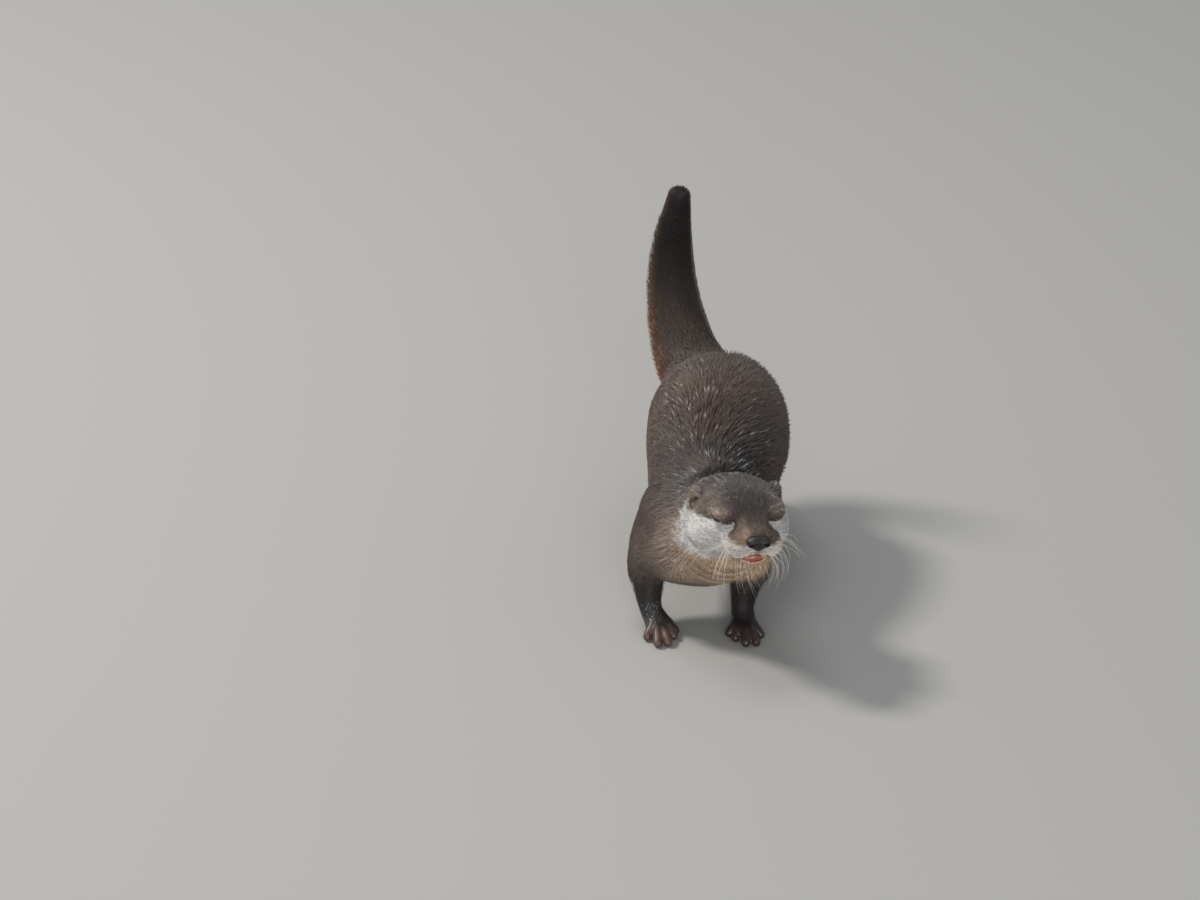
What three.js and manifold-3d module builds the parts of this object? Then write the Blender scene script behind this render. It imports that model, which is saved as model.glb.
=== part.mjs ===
// A small-clawed otter at life size, standing on four feet with its tail raised.
// Millimetres, +Z up, nose towards -Y, the otter's left side towards +X.
//
// The body is one field of blended ovals and bent lofts, negative inside. Each region of it is
// meshed on a grid of its own fineness, and plane cuts part the regions with a thin gap.
import * as THREE from "three";
import { mergeVertices } from "three/addons/utils/BufferGeometryUtils.js";
import Module from "manifold-3d";

const wasm = await Module();
wasm.setup();

// ---------------------------------------------------------------- driving dimensions
const GAP = 0.3; // between touching pieces
const FAR = 600; // longer than the whole animal

const SHOULDER_HALF = 62; // half width over the shoulders
const HAUNCH_HALF = 62; // half width over the haunches
const WITHERS_Z = 157; // top of the back over the forelegs
const HUMP_Z = 176; // highest point of the arched back
const BELLY_Z = 44; // underside of chest and belly

const HEAD_AT = [24.5, -22, 128]; // centre of the skull
const HEAD_YAW = 15; // degrees, nose turned to the otter's left
const HEAD_PITCH = 5; // degrees, nose lifted
const HEAD_ROLL = 3; // degrees, left ear lowered
const SKULL_HALF = 38; // half width of the skull with its coat
const EYE_RADIUS = 5.5;
const EYE_AT = [21, -33.5, 6]; // left eye, in the head's own frame
const EAR_AT = [33.5, 4, 11]; // left ear, in the head's own frame

// Each toe, from the inner to the outer: degrees it turns outwards, and its share of the reach.
const TOES = [
  [-65, 0.55],
  [-33, 0.7],
  [-8, 0.98],
  [11, 1],
  [40, 0.66],
];
const CELLS = { trunk: 16, neck: 13, head: 10, face: 6.9, tail: 11, leg: 11, fore: 4.7, hind: 5.8, ear: 3, small: 3.7 };

// ---------------------------------------------------------------- fields
const { abs, cos, hypot, max, min, sin } = Math;
const radians = THREE.MathUtils.degToRad;

// An oval with its three half sizes.
function oval([cx, cy, cz], [rx, ry, rz]) {
  return (x, y, z) => {
    const a = (x - cx) / rx;
    const b = (y - cy) / ry;
    const c = (z - cz) / rz;
    const k = hypot(a, b, c);
    return k < 1e-6 ? -min(rx, ry, rz) : (k * (k - 1)) / hypot(a / rx, b / ry, c / rz);
  };
}

// The same oval on both sides of the mirror plane x = 0.
function pair(centre, radii) {
  const one = oval(centre, radii);
  return (x, y, z) => one(abs(x), y, z);
}

// A bent body of oval section through stations [x, y, z, half width, half height].
function loft(stations, steps = 4 * stations.length) {
  const smooth = (pick) =>
    new THREE.CatmullRomCurve3(
      stations.map((s) => new THREE.Vector3(...pick(s))),
      false,
      "centripetal",
    );
  const line = smooth((s) => s.slice(0, 3));
  const size = new THREE.CatmullRomCurve3(
    stations.map((s) => new THREE.Vector3(s[3], s[4], 0)),
    false,
    "catmullrom",
    0.5,
  );
  const sideways = new THREE.Vector3(1, 0, 0);
  const rings = [];
  for (let i = 0; i <= steps; i++) {
    const tangent = line.getTangent(i / steps);
    const side = sideways.clone().addScaledVector(tangent, -tangent.x).normalize();
    const centre = line.getPoint(i / steps);
    const { x: wide, y: high } = size.getPoint(i / steps);
    rings.push({ centre, tangent, side, up: side.clone().cross(tangent), wide, high });
  }
  return (x, y, z) => {
    let best = Infinity;
    let at = 0;
    let along = 0;
    for (let i = 0; i < steps; i++) {
      const a = rings[i].centre;
      const b = rings[i + 1].centre;
      const dx = b.x - a.x;
      const dy = b.y - a.y;
      const dz = b.z - a.z;
      const t = ((x - a.x) * dx + (y - a.y) * dy + (z - a.z) * dz) / (dx * dx + dy * dy + dz * dz);
      const u = min(1, max(0, t));
      const d = hypot(x - a.x - u * dx, y - a.y - u * dy, z - a.z - u * dz);
      if (d < best) {
        best = d;
        at = i;
        along = u;
      }
    }
    const a = rings[at];
    const b = rings[at + 1];
    const mix = (p, q) => p + (q - p) * along;
    const ox = x - mix(a.centre.x, b.centre.x);
    const oy = y - mix(a.centre.y, b.centre.y);
    const oz = z - mix(a.centre.z, b.centre.z);
    const across = (key) =>
      mix(
        ox * a[key].x + oy * a[key].y + oz * a[key].z,
        ox * b[key].x + oy * b[key].y + oz * b[key].z,
      );
    const wide = mix(a.wide, b.wide);
    const high = mix(a.high, b.high);
    const p = across("side") / wide;
    const q = across("up") / high;
    const r = across("tangent") / min(wide, high);
    const k = hypot(p, q, r);
    return k < 1e-6 ? -min(wide, high) : (k * (k - 1)) / hypot(p / wide, q / high, r / min(wide, high));
  };
}

// Joins fields with a fillet of about the given size.
function blend(fillet, ...fields) {
  return (x, y, z) => {
    let value = fields[0](x, y, z);
    for (let i = 1; i < fields.length; i++) {
      const next = fields[i](x, y, z);
      const h = max(fillet - abs(value - next), 0) / fillet;
      value = min(value, next) - (h * h * fillet) / 4;
    }
    return value;
  };
}

// Hollows one field by another, with a soft edge.
function hollow(fillet, body, cut) {
  const joined = blend(fillet, (x, y, z) => -body(x, y, z), cut);
  return (x, y, z) => -joined(x, y, z);
}

const grown = (field, by) => (x, y, z) => field(x, y, z) - by;

// A field built in the head's own frame, turned and placed with the head.
const headMatrix = new THREE.Matrix4().compose(
  new THREE.Vector3(...HEAD_AT),
  new THREE.Quaternion().setFromEuler(
    new THREE.Euler(-radians(HEAD_PITCH), radians(HEAD_ROLL), radians(HEAD_YAW), "ZYX"),
  ),
  new THREE.Vector3(1, 1, 1),
);
const headInverse = headMatrix.clone().invert();

function onHead(field) {
  const e = headInverse.elements;
  return (x, y, z) =>
    field(
      e[0] * x + e[4] * y + e[8] * z + e[12],
      e[1] * x + e[5] * y + e[9] * z + e[13],
      e[2] * x + e[6] * y + e[10] * z + e[14],
    );
}

const headPoint = (x, y, z) => new THREE.Vector3(x, y, z).applyMatrix4(headMatrix);
const headWay = (x, y, z) => new THREE.Vector3(x, y, z).transformDirection(headMatrix);

// ---------------------------------------------------------------- body forms
// Neck, trunk and rump: the middle line is worked out from the back's and the belly's heights.
function torsoStation(x, y, top, bottom, wide) {
  return [x, y, (top + bottom) / 2, wide, (top - bottom) / 2];
}

const spine = loft([
  torsoStation(21, -14, 149, 82, 37),
  torsoStation(13, 6, 149, 52, 44),
  torsoStation(3, 32, WITHERS_Z - 5, BELLY_Z - 3, SHOULDER_HALF - 12),
  torsoStation(4, 70, WITHERS_Z, BELLY_Z - 1, SHOULDER_HALF - 10),
  torsoStation(10, 115, HUMP_Z - 8, BELLY_Z + 3, HAUNCH_HALF - 3),
  torsoStation(12.5, 158, HUMP_Z, BELLY_Z + 7, HAUNCH_HALF - 1),
  torsoStation(13, 196, HUMP_Z - 2, BELLY_Z + 14, HAUNCH_HALF - 5),
  torsoStation(10, 228, HUMP_Z - 22, BELLY_Z + 30, HAUNCH_HALF - 20),
]);
const brisket = oval([-13, 14, 72], [45, 26, 28]); // the broad, flat-bottomed chest between the forelegs
const torso = blend(12, spine, brisket);

const tail = loft([
  [9, 214, 122, 38, 36],
  [0, 244, 128, 34, 30],
  [-11, 266, 142, 30, 26],
  [-18, 280, 163, 27, 22.5],
  [-22.5, 288, 188, 24, 19.5],
  [-24, 289, 214, 21, 16.5],
  [-23.5, 286, 240, 17.6, 14],
  [-21.5, 281, 264, 14, 12],
  [-19, 276, 286, 10.8, 10],
]);

// A leg is a loft from the body down to the paw, side = +1 on the otter's left. Its x values are
// measured out from the middle line between the two legs of its pair, and each station may end with
// a sway, the distance by which it stands further to the otter's left.
const leg = (side, middle, joints) =>
  loft(joints.map(([x, y, z, wide, deep, sway = 0]) => [middle + side * x + sway, y, z, wide, deep]));

// Where the paws stand, and how high each is parted from its leg.
const FORE = { middle: -3, x: 36, y: 14, wrist: 22 };
const HIND = { middle: 13, x: 36, y: 242, wrist: 34 };

function foreleg(side) {
  return leg(side, FORE.middle, [
    [29.5, 35, 99, 23, 29],
    [37, 34, 76, 23, 27],
    [42, 30, 52, 19.5, 21, -1.5],
    [40.5, 24, 35, 14, 15, -3.5],
    [38.5, FORE.y + 3, 19, 9.8, 10, -3.5],
    [FORE.x, FORE.y - 6, 7.6, 11, 8.4],
  ]);
}

function hindleg(side) {
  return leg(side, HIND.middle, [
    [30, 190, 112, 26, 42],
    [38, 184, 84, 22, 36],
    [39, 200, 60, 17, 27],
    [37, 228, 41, 13, 18],
    [HIND.x, HIND.y + 10, 24, 10.5, 12],
    [HIND.x, HIND.y + 6, 9.6, 11, 10.2],
    [HIND.x + 1, HIND.y - 20, 7.6, 13, 8.4],
  ]);
}

// Toes fan out from a palm, and the whole fan may be turned towards the otter's left.
function toes(side, palm, reach, thick, turned) {
  const fan = TOES.map(([out, share]) => {
    const bend = radians(side * out + turned);
    const step = (s, z, r) => {
      const far = reach * share * s;
      return [palm.x + sin(bend) * far, palm.y - cos(bend) * far, z, r, r];
    };
    return loft(
      [step(0, 8, thick), step(0.45, 10, thick), step(0.84, 6, thick), step(1, 3.9, thick * 0.92)],
      6,
    );
  });
  return blend(1.2, ...fan);
}

const palmOf = (paw, side, out, ahead) => ({ x: paw.middle + side * (paw.x + out), y: paw.y - ahead });
const foretoes = (side) => toes(side, palmOf(FORE, side, 0, 6), 27, 4.5, 10);
const hindtoes = (side) => toes(side, palmOf(HIND, side, 1, 20), 30, 4.6, 0);

// ---------------------------------------------------------------- head forms, in the head's own frame
const skull = blend(
  16,
  oval([0, 4, 0], [SKULL_HALF, 40, 28]),
  pair([23, -6, -13], [18, 27, 17]), // cheeks
  oval([0, -24, -3], [29, 24, 20]), // face between the eyes
);
const snout = blend(
  8,
  oval([0, -43, -9], [19, 20, 14]),
  pair([11.5, -49, -12], [12.5, 13, 10.5]), // whisker pads
  oval([0, -46, 0], [9, 16, 8]), // nose bridge
);
const chin = oval([0, -39, -23], [16.5, 21, 9]);
const brows = pair([19, -29, 14], [10, 11, 6]);
const eyeHollows = pair([22, -42, 4], [7, 6, 5]);
const headForm = hollow(5, blend(9, skull, snout, chin, brows), eyeHollows);

const earOutside = pair(EAR_AT, [5.2, 9, 8.5]);
const earCup = pair([EAR_AT[0] + 3.2, EAR_AT[1] - 6, EAR_AT[2] - 0.5], [4.8, 7.5, 6]);
const noseForm = blend(
  3,
  oval([0, -62, -4.5], [9.5, 6.5, 6]),
  pair([5.5, -62.5, -5], [5, 6, 5.2]), // wings round the nostrils
);
const tongueForm = oval([0, -50, -19.3], [7.5, 12, 2.3]);

const flesh = blend(
  10,
  blend(16, torso, onHead(headForm)),
  tail,
  blend(6, foreleg(1), foretoes(1)),
  blend(6, foreleg(-1), foretoes(-1)),
  blend(6, hindleg(1), hindtoes(1)),
  blend(6, hindleg(-1), hindtoes(-1)),
);

// ---------------------------------------------------------------- meshing
// The corners of a grid cube, its edges, and the pairs of corners that share a face.
const CORNERS = Array.from({ length: 8 }, (_, c) => [c & 1, (c >> 1) & 1, (c >> 2) & 1]);
const apart = (a, b) => [0, 1, 2].filter((n) => CORNERS[a][n] !== CORNERS[b][n]).length;
const CORNER_PAIRS = CORNERS.flatMap((_, a) => CORNERS.map((_, b) => [a, b])).filter(([a, b]) => a < b);
const EDGES = CORNER_PAIRS.filter(([a, b]) => apart(a, b) === 1);
const FACE_PAIRS = CORNER_PAIRS.filter(([a, b]) => apart(a, b) <= 2);

// Numbers the groups of joined corners in a cube: inside corners join along edges, outside ones
// across faces too.
function cornerGroups(inside) {
  const group = CORNERS.map((_, c) => c);
  for (let pass = 0; pass < 4; pass++) {
    for (const [a, b] of EDGES)
      if (inside[a] && inside[b]) group[a] = group[b] = min(group[a], group[b]);
    for (const [a, b] of FACE_PAIRS)
      if (!inside[a] && !inside[b]) group[a] = group[b] = min(group[a], group[b]);
  }
  return group;
}

// Surface nets: in each grid cube one vertex for each sheet of the surface, drawn onto it, and
// two triangles round each grid edge that it crosses.
function surface(openField, low, high, cell) {
  const middle = low.map((v, i) => (v + high[i]) / 2);
  const half = low.map((v, i) => (high[i] - v) / 2 - 1.2 * cell);
  const field = (x, y, z) =>
    max(
      openField(x, y, z),
      abs(x - middle[0]) - half[0],
      abs(y - middle[1]) - half[1],
      abs(z - middle[2]) - half[2],
    );
  const [nx, ny, nz] = low.map((v, i) => Math.ceil((high[i] - v) / cell) + 1);
  const index = (i, j, k) => i + nx * (j + ny * k);
  const place = (i, j, k) => [low[0] + i * cell, low[1] + j * cell, low[2] + k * cell];
  const values = new Float64Array(nx * ny * nz);
  for (let k = 0; k < nz; k++)
    for (let j = 0; j < ny; j++)
      for (let i = 0; i < nx; i++) values[index(i, j, k)] = field(...place(i, j, k));

  const positions = [];
  const vertexOf = new Map();
  const keyOf = (cube, edge) => cube * 12 + edge;
  for (let k = 0; k < nz - 1; k++)
    for (let j = 0; j < ny - 1; j++)
      for (let i = 0; i < nx - 1; i++) {
        const near = CORNERS.map(([a, b, c]) => values[index(i + a, j + b, k + c)]);
        const inside = near.map((value) => value < 0);
        if (inside.every((v) => v === inside[0])) continue;
        const group = cornerGroups(inside);
        const sheets = new Map();
        EDGES.forEach(([a, b], edge) => {
          if (inside[a] === inside[b]) return;
          const sheet = inside[a] ? group[a] * 8 + group[b] : group[b] * 8 + group[a];
          if (!sheets.has(sheet)) sheets.set(sheet, []);
          sheets.get(sheet).push(edge);
        });
        for (const crossed of sheets.values()) {
          const sum = [0, 0, 0];
          for (const edge of crossed) {
            const [a, b] = EDGES[edge];
            const t = near[a] / (near[a] - near[b]);
            for (let n = 0; n < 3; n++) sum[n] += CORNERS[a][n] + t * (CORNERS[b][n] - CORNERS[a][n]);
            vertexOf.set(keyOf(index(i, j, k), edge), positions.length / 3);
          }
          const [u, v, w] = sum.map((s) => s / crossed.length);
          positions.push(...drawnOnto(field, place(i + u, j + v, k + w), cell));
        }
      }

  const triangles = [];
  const quad = (a, b, c, d) => {
    const far = (p, q) =>
      hypot(...[0, 1, 2].map((n) => positions[3 * p + n] - positions[3 * q + n]));
    if (far(a, c) < far(b, d)) triangles.push(a, b, c, a, c, d);
    else triangles.push(a, b, d, b, c, d);
  };
  for (let k = 1; k < nz - 1; k++)
    for (let j = 1; j < ny - 1; j++)
      for (let i = 1; i < nx - 1; i++) {
        const inside = values[index(i, j, k)] < 0;
        for (let axis = 0; axis < 3; axis++) {
          const next = [i, j, k];
          next[axis]++;
          if (inside === values[index(...next)] < 0) continue;
          // The four cubes round this grid edge, and which of their own edges it is.
          const ring = [[0, 0], [1, 0], [1, 1], [0, 1]].map(([s, t]) => {
            const back = [0, 0, 0];
            back[(axis + 1) % 3] = s;
            back[(axis + 2) % 3] = t;
            const start = back[0] + 2 * back[1] + 4 * back[2];
            const edge = EDGES.findIndex(([a, b]) => a === start && b === start + (1 << axis));
            return vertexOf.get(keyOf(index(i - back[0], j - back[1], k - back[2]), edge));
          });
          quad(...(inside ? ring : ring.reverse()));
        }
      }
  return new THREE.BufferGeometry()
    .setAttribute("position", new THREE.Float32BufferAttribute(positions, 3))
    .setIndex(triangles);
}

// Steps a point along the field's slope to its zero surface, staying in its own cube.
function drawnOnto(field, start, cell) {
  const h = 0.05;
  const p = [...start];
  for (let step = 0; step < 3; step++) {
    const value = field(...p);
    const slope = [0, 1, 2].map((n) => {
      const q = [...p];
      q[n] += h;
      return (field(...q) - value) / h;
    });
    const steep = slope[0] ** 2 + slope[1] ** 2 + slope[2] ** 2;
    for (let n = 0; n < 3; n++) {
      const moved = p[n] - (value * slope[n]) / max(steep, 0.1);
      p[n] = min(start[n] + cell * 0.4, max(start[n] - cell * 0.4, moved));
    }
  }
  return p;
}

// ---------------------------------------------------------------- solids and cuts
function solid(geometry) {
  const bare = geometry.clone();
  bare.deleteAttribute("normal");
  bare.deleteAttribute("uv");
  const merged = mergeVertices(bare, 1e-4);
  return new wasm.Manifold(
    new wasm.Mesh({
      numProp: 3,
      vertProperties: Float32Array.from(merged.attributes.position.array),
      triVerts: Uint32Array.from(merged.index.array),
    }),
  );
}

function geometryOf(manifold) {
  const mesh = manifold.getMesh();
  return new THREE.BufferGeometry()
    .setAttribute("position", new THREE.Float32BufferAttribute(mesh.vertProperties, 3))
    .setIndex(new THREE.Uint32BufferAttribute(mesh.triVerts, 1));
}

// A block that fills the side of a plane that `way` points to, held back from it by half a gap.
function beyond(point, way, hold = GAP / 2) {
  const along = way.clone().normalize();
  const block = new THREE.BoxGeometry(FAR * 2, FAR * 2, FAR * 2)
    .translate(0, 0, FAR)
    .applyQuaternion(new THREE.Quaternion().setFromUnitVectors(new THREE.Vector3(0, 0, 1), along));
  block.translate(...point.clone().addScaledVector(along, hold).toArray());
  return solid(block);
}

// Both sides of one cut: [the side that `way` points to, the other side].
const cut = (point, way) => [beyond(point, way), beyond(point, way.clone().negate())];

const all = (first, ...rest) => rest.reduce((made, next) => made.intersect(next), first);
const without = (body, ...cuts) => cuts.reduce((made, next) => made.subtract(next), body);

// Keeps the largest body where a cut leaves crumbs.
function largest(manifold) {
  const bodies = manifold.decompose();
  return bodies.sort((a, b) => b.volume() - a.volume())[0];
}

const vector = (x, y, z) => new THREE.Vector3(x, y, z);
const meshed = (field, low, high, cell) => solid(surface(field, low, high, cell));

// Half-spaces that bound the regions.
const [behindHead, headSide] = cut(headPoint(0, 30, 0), headWay(0, 1, -0.3));
const [trunkSide, neckSide] = cut(vector(0, 35, WITHERS_Z), vector(0, 0.84, -0.54));
const [tailSide, rumpSide] = cut(vector(6, 238, 142), vector(0, 0.72, 0.69));
const [skullSide, faceSide] = cut(headPoint(0, -20, 0), headWay(0, 1, 0.12));
const [upperSide, jawSide] = cut(headPoint(0, -50, -19), headWay(0, 0.14, 1));
const [aboveFloor] = cut(vector(0, 0, -GAP / 2), vector(0, 0, 1));
const [tailRootSide, tailTipSide] = cut(vector(0, 284, 215), vector(0, 0, -1));

// The region that a leg takes from the trunk: outside a slanting plane, between two upright ones.
function legRegion(side, middle, armpit, slant, front, back, hold) {
  return all(
    beyond(vector(middle + side * armpit[0], 0, armpit[1]), vector(side * slant[0], 0, slant[1]), hold),
    beyond(vector(0, front, 0), vector(0, 1, 0), hold),
    beyond(vector(0, back, 0), vector(0, -1, 0), hold),
  );
}
const foreRegion = (side, hold) => legRegion(side, FORE.middle, [26, 46], [0.82, -0.57], -18, 66, hold);
const hindRegion = (side, hold) => legRegion(side, HIND.middle, [24, 54], [0.88, -0.47], 140, 272, hold);
const legRegions = [-1, 1].flatMap((side) => [
  foreRegion(side, -GAP / 2),
  hindRegion(side, -GAP / 2),
]);

// ---------------------------------------------------------------- nodes
const whole = { low: [-110, -110, -20], high: [110, 330, 350] };
const nearHead = { low: [-50, -110, 60], high: [90, 40, 190] };
const COAT = { dark: "#4a3d37", tail: "#3a302c", pale: "#b8aea2", feet: "#4d403b" };

const finish = {
  coat: new THREE.MeshStandardMaterial({ color: COAT.dark, roughness: 0.6, metalness: 0 }),
  tail: new THREE.MeshStandardMaterial({ color: COAT.tail, roughness: 0.6, metalness: 0 }),
  throat: new THREE.MeshStandardMaterial({ color: COAT.pale, roughness: 0.7, metalness: 0 }),
  feet: new THREE.MeshStandardMaterial({ color: COAT.feet, roughness: 0.5, metalness: 0 }),
  nose: new THREE.MeshStandardMaterial({ color: "#1b1a1c", roughness: 0.35, metalness: 0 }),
  eye: new THREE.MeshStandardMaterial({ color: "#120d0a", roughness: 0.1, metalness: 0 }),
  tongue: new THREE.MeshStandardMaterial({ color: "#b5655c", roughness: 0.4, metalness: 0 }),
};

const otter = new THREE.Group();

function place(name, manifold, material) {
  const mesh = new THREE.Mesh(geometryOf(largest(manifold)), material);
  mesh.name = name;
  otter.add(mesh);
}

const trunkFlesh = meshed(flesh, whole.low, whole.high, CELLS.trunk);
place("trunk", without(all(trunkFlesh, trunkSide, behindHead, rumpSide), ...legRegions), finish.coat);

const neckFlesh = meshed(flesh, [-110, -110, 30], [110, 90, 200], CELLS.neck);
place("neck", without(all(neckFlesh, behindHead, neckSide), ...legRegions), finish.coat);

const tailFlesh = meshed(flesh, [-90, 190, 80], [90, 330, 350], CELLS.tail);
place("tail_root", all(tailFlesh, tailSide, tailRootSide), finish.tail);
place("tail_tip", all(tailFlesh, tailTipSide), finish.tail);

// Head: skull, face, lower jaw and the small pieces that sit in them.
const eye = (side, radius) =>
  solid(
    new THREE.SphereGeometry(radius, 12, 8).translate(
      ...headPoint(side * EYE_AT[0], EYE_AT[1], EYE_AT[2]).toArray(),
    ),
  );
const around = (field, cell) => meshed(onHead(field), nearHead.low, nearHead.high, cell);

const skullFlesh = meshed(flesh, nearHead.low, nearHead.high, CELLS.head);
place("head", all(skullFlesh, headSide, skullSide), finish.coat);

const faceFlesh = meshed(flesh, nearHead.low, nearHead.high, CELLS.face);
const sockets = [-1, 1].map((side) => eye(side, EYE_RADIUS + GAP));
const noseRoom = around(grown(noseForm, 3 * GAP), CELLS.small);
const tongueRoom = around(grown(tongueForm, 3 * GAP), CELLS.small);
place("face", without(all(faceFlesh, faceSide, upperSide), ...sockets, noseRoom, tongueRoom), finish.coat);
place("lower_jaw", without(all(faceFlesh, faceSide, jawSide), tongueRoom), finish.throat);
place("nose", around(noseForm, CELLS.small), finish.nose);
place("tongue", around(tongueForm, CELLS.small), finish.tongue);
for (const [name, side] of [["left", 1], ["right", -1]]) place("eye_" + name, eye(side, EYE_RADIUS), finish.eye);

const earField = onHead(hollow(1.5, earOutside, earCup));
const headRoom = meshed(grown(flesh, 2 * GAP), nearHead.low, nearHead.high, CELLS.head);
const ears = without(meshed(earField, nearHead.low, nearHead.high, CELLS.ear), headRoom);
for (const [name, side] of [["left", 1], ["right", -1]])
  place("ear_" + name, all(ears, beyond(headPoint(0, 0, 0), headWay(side, 0, 0))), finish.coat);

// Legs and feet, each foot flat on the floor.
for (const [name, side] of [["left", 1], ["right", -1]])
  for (const [pairName, region, paw, low, high] of [
    ["fore", foreRegion, FORE, [-100, -40, -20], [100, 90, 150]],
    ["hind", hindRegion, HIND, [-100, 115, -20], [100, 290, 170]],
  ]) {
    const half = [[...low], [...high]];
    half[side > 0 ? 0 : 1][0] = paw.middle - side * 12;
    const [aboveWrist, belowWrist] = cut(vector(0, paw.y, paw.wrist), vector(0, -0.2, 1));
    const room = region(side, GAP / 2);
    const upper = meshed(flesh, ...half, CELLS.leg);
    place(`${pairName}leg_${name}`, all(upper, room, aboveWrist, behindHead), finish.coat);
    const lower = meshed(flesh, half[0], [half[1][0], half[1][1], paw.wrist + 25], CELLS[pairName]);
    place(`${pairName}foot_${name}`, all(lower, room, belowWrist, aboveFloor), finish.feet);
  }

// The origin is the middle of the animal's box, on the floor.
const extent = new THREE.Box3().setFromObject(otter);
const middle = extent.getCenter(new THREE.Vector3());
otter.position.set(-middle.x, -middle.y, -extent.min.z);

export default otter;
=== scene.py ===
"""A life-size small-clawed otter with its skin, coat, face, claws and whiskers."""

import itertools
import math

import bmesh
import bpy
import numpy as np
from mathutils import Matrix, Vector
from mathutils.bvhtree import BVHTree


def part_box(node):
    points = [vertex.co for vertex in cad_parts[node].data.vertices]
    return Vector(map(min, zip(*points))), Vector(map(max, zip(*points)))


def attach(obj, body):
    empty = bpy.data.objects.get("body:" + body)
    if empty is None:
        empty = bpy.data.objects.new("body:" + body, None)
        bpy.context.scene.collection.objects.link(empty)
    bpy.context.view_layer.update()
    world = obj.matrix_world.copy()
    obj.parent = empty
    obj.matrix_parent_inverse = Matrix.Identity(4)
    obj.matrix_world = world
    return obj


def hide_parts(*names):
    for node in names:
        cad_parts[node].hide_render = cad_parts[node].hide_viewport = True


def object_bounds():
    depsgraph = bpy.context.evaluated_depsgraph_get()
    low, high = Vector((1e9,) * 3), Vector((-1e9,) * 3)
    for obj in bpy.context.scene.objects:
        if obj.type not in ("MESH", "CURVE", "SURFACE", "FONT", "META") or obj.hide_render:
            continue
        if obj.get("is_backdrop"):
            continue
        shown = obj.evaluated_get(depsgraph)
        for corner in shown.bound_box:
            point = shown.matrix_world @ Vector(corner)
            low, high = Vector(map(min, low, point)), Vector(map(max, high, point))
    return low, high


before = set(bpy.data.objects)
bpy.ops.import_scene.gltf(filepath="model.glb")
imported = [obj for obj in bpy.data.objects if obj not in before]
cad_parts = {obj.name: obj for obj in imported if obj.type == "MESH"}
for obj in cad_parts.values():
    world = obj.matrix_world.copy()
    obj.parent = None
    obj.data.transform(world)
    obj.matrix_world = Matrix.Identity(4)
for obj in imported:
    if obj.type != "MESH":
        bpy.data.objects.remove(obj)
cad_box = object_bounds()

# ---------------------------------------------------------------- body forms, in millimetres
# Each form is a function of many points at once, negative inside, the same as the solids' own.
FAR = 60.0  # a loft's value at points that are too far off for it to matter
MARGIN = 28  # how far around a loft it is still measured


def from_oval(offset, radii):
    """About the distance to an oval's surface from points given by their offset from its middle."""
    q = offset / radii
    k = np.linalg.norm(q, axis=1)
    return k * (k - 1) / np.maximum(np.linalg.norm(q / radii, axis=1), 1e-9)


def oval(centre, radii):
    centre, radii = np.array(centre, float), np.array(radii, float)
    return lambda p: from_oval(p - centre, radii)


def one_sided(p):
    """The points, with those on the right moved to the same place on the left."""
    return np.column_stack([np.abs(p[:, 0]), p[:, 1:]])


def pair(centre, radii):
    form = oval(centre, radii)
    return lambda p: form(one_sided(p))


def through(points, t, centripetal):
    """A smooth curve through points, at t from 0 to 1."""
    points = np.array(points, float)
    points = np.vstack([2 * points[0] - points[1], points, 2 * points[-1] - points[-2]])
    place = np.clip(np.asarray(t, float), 0, 1) * (len(points) - 3)
    first = np.minimum(place.astype(int), len(points) - 4)
    w = (place - first)[:, None]
    a, b, c, d = (points[first + i] for i in range(4))
    if centripetal:
        ab, bc, cd = (
            np.maximum(np.linalg.norm(v, axis=1, keepdims=True), 1e-6) ** 0.5
            for v in (b - a, c - b, d - c)
        )
        out = ((b - a) / ab - (c - a) / (ab + bc) + (c - b) / bc) * bc
        into = ((c - b) / bc - (d - b) / (bc + cd) + (d - c) / cd) * bc
    else:
        out, into = (c - a) / 2, (d - b) / 2
    return b + out * w + (3 * (c - b) - 2 * out - into) * w**2 + (2 * (b - c) + out + into) * w**3


def unit(v):
    return v / np.maximum(np.linalg.norm(v, axis=-1, keepdims=True), 1e-9)


def between(values, at, w):
    """The values from one station to the next, w of the way along."""
    return values[at] * (1 - w) + values[at + 1] * w


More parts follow.
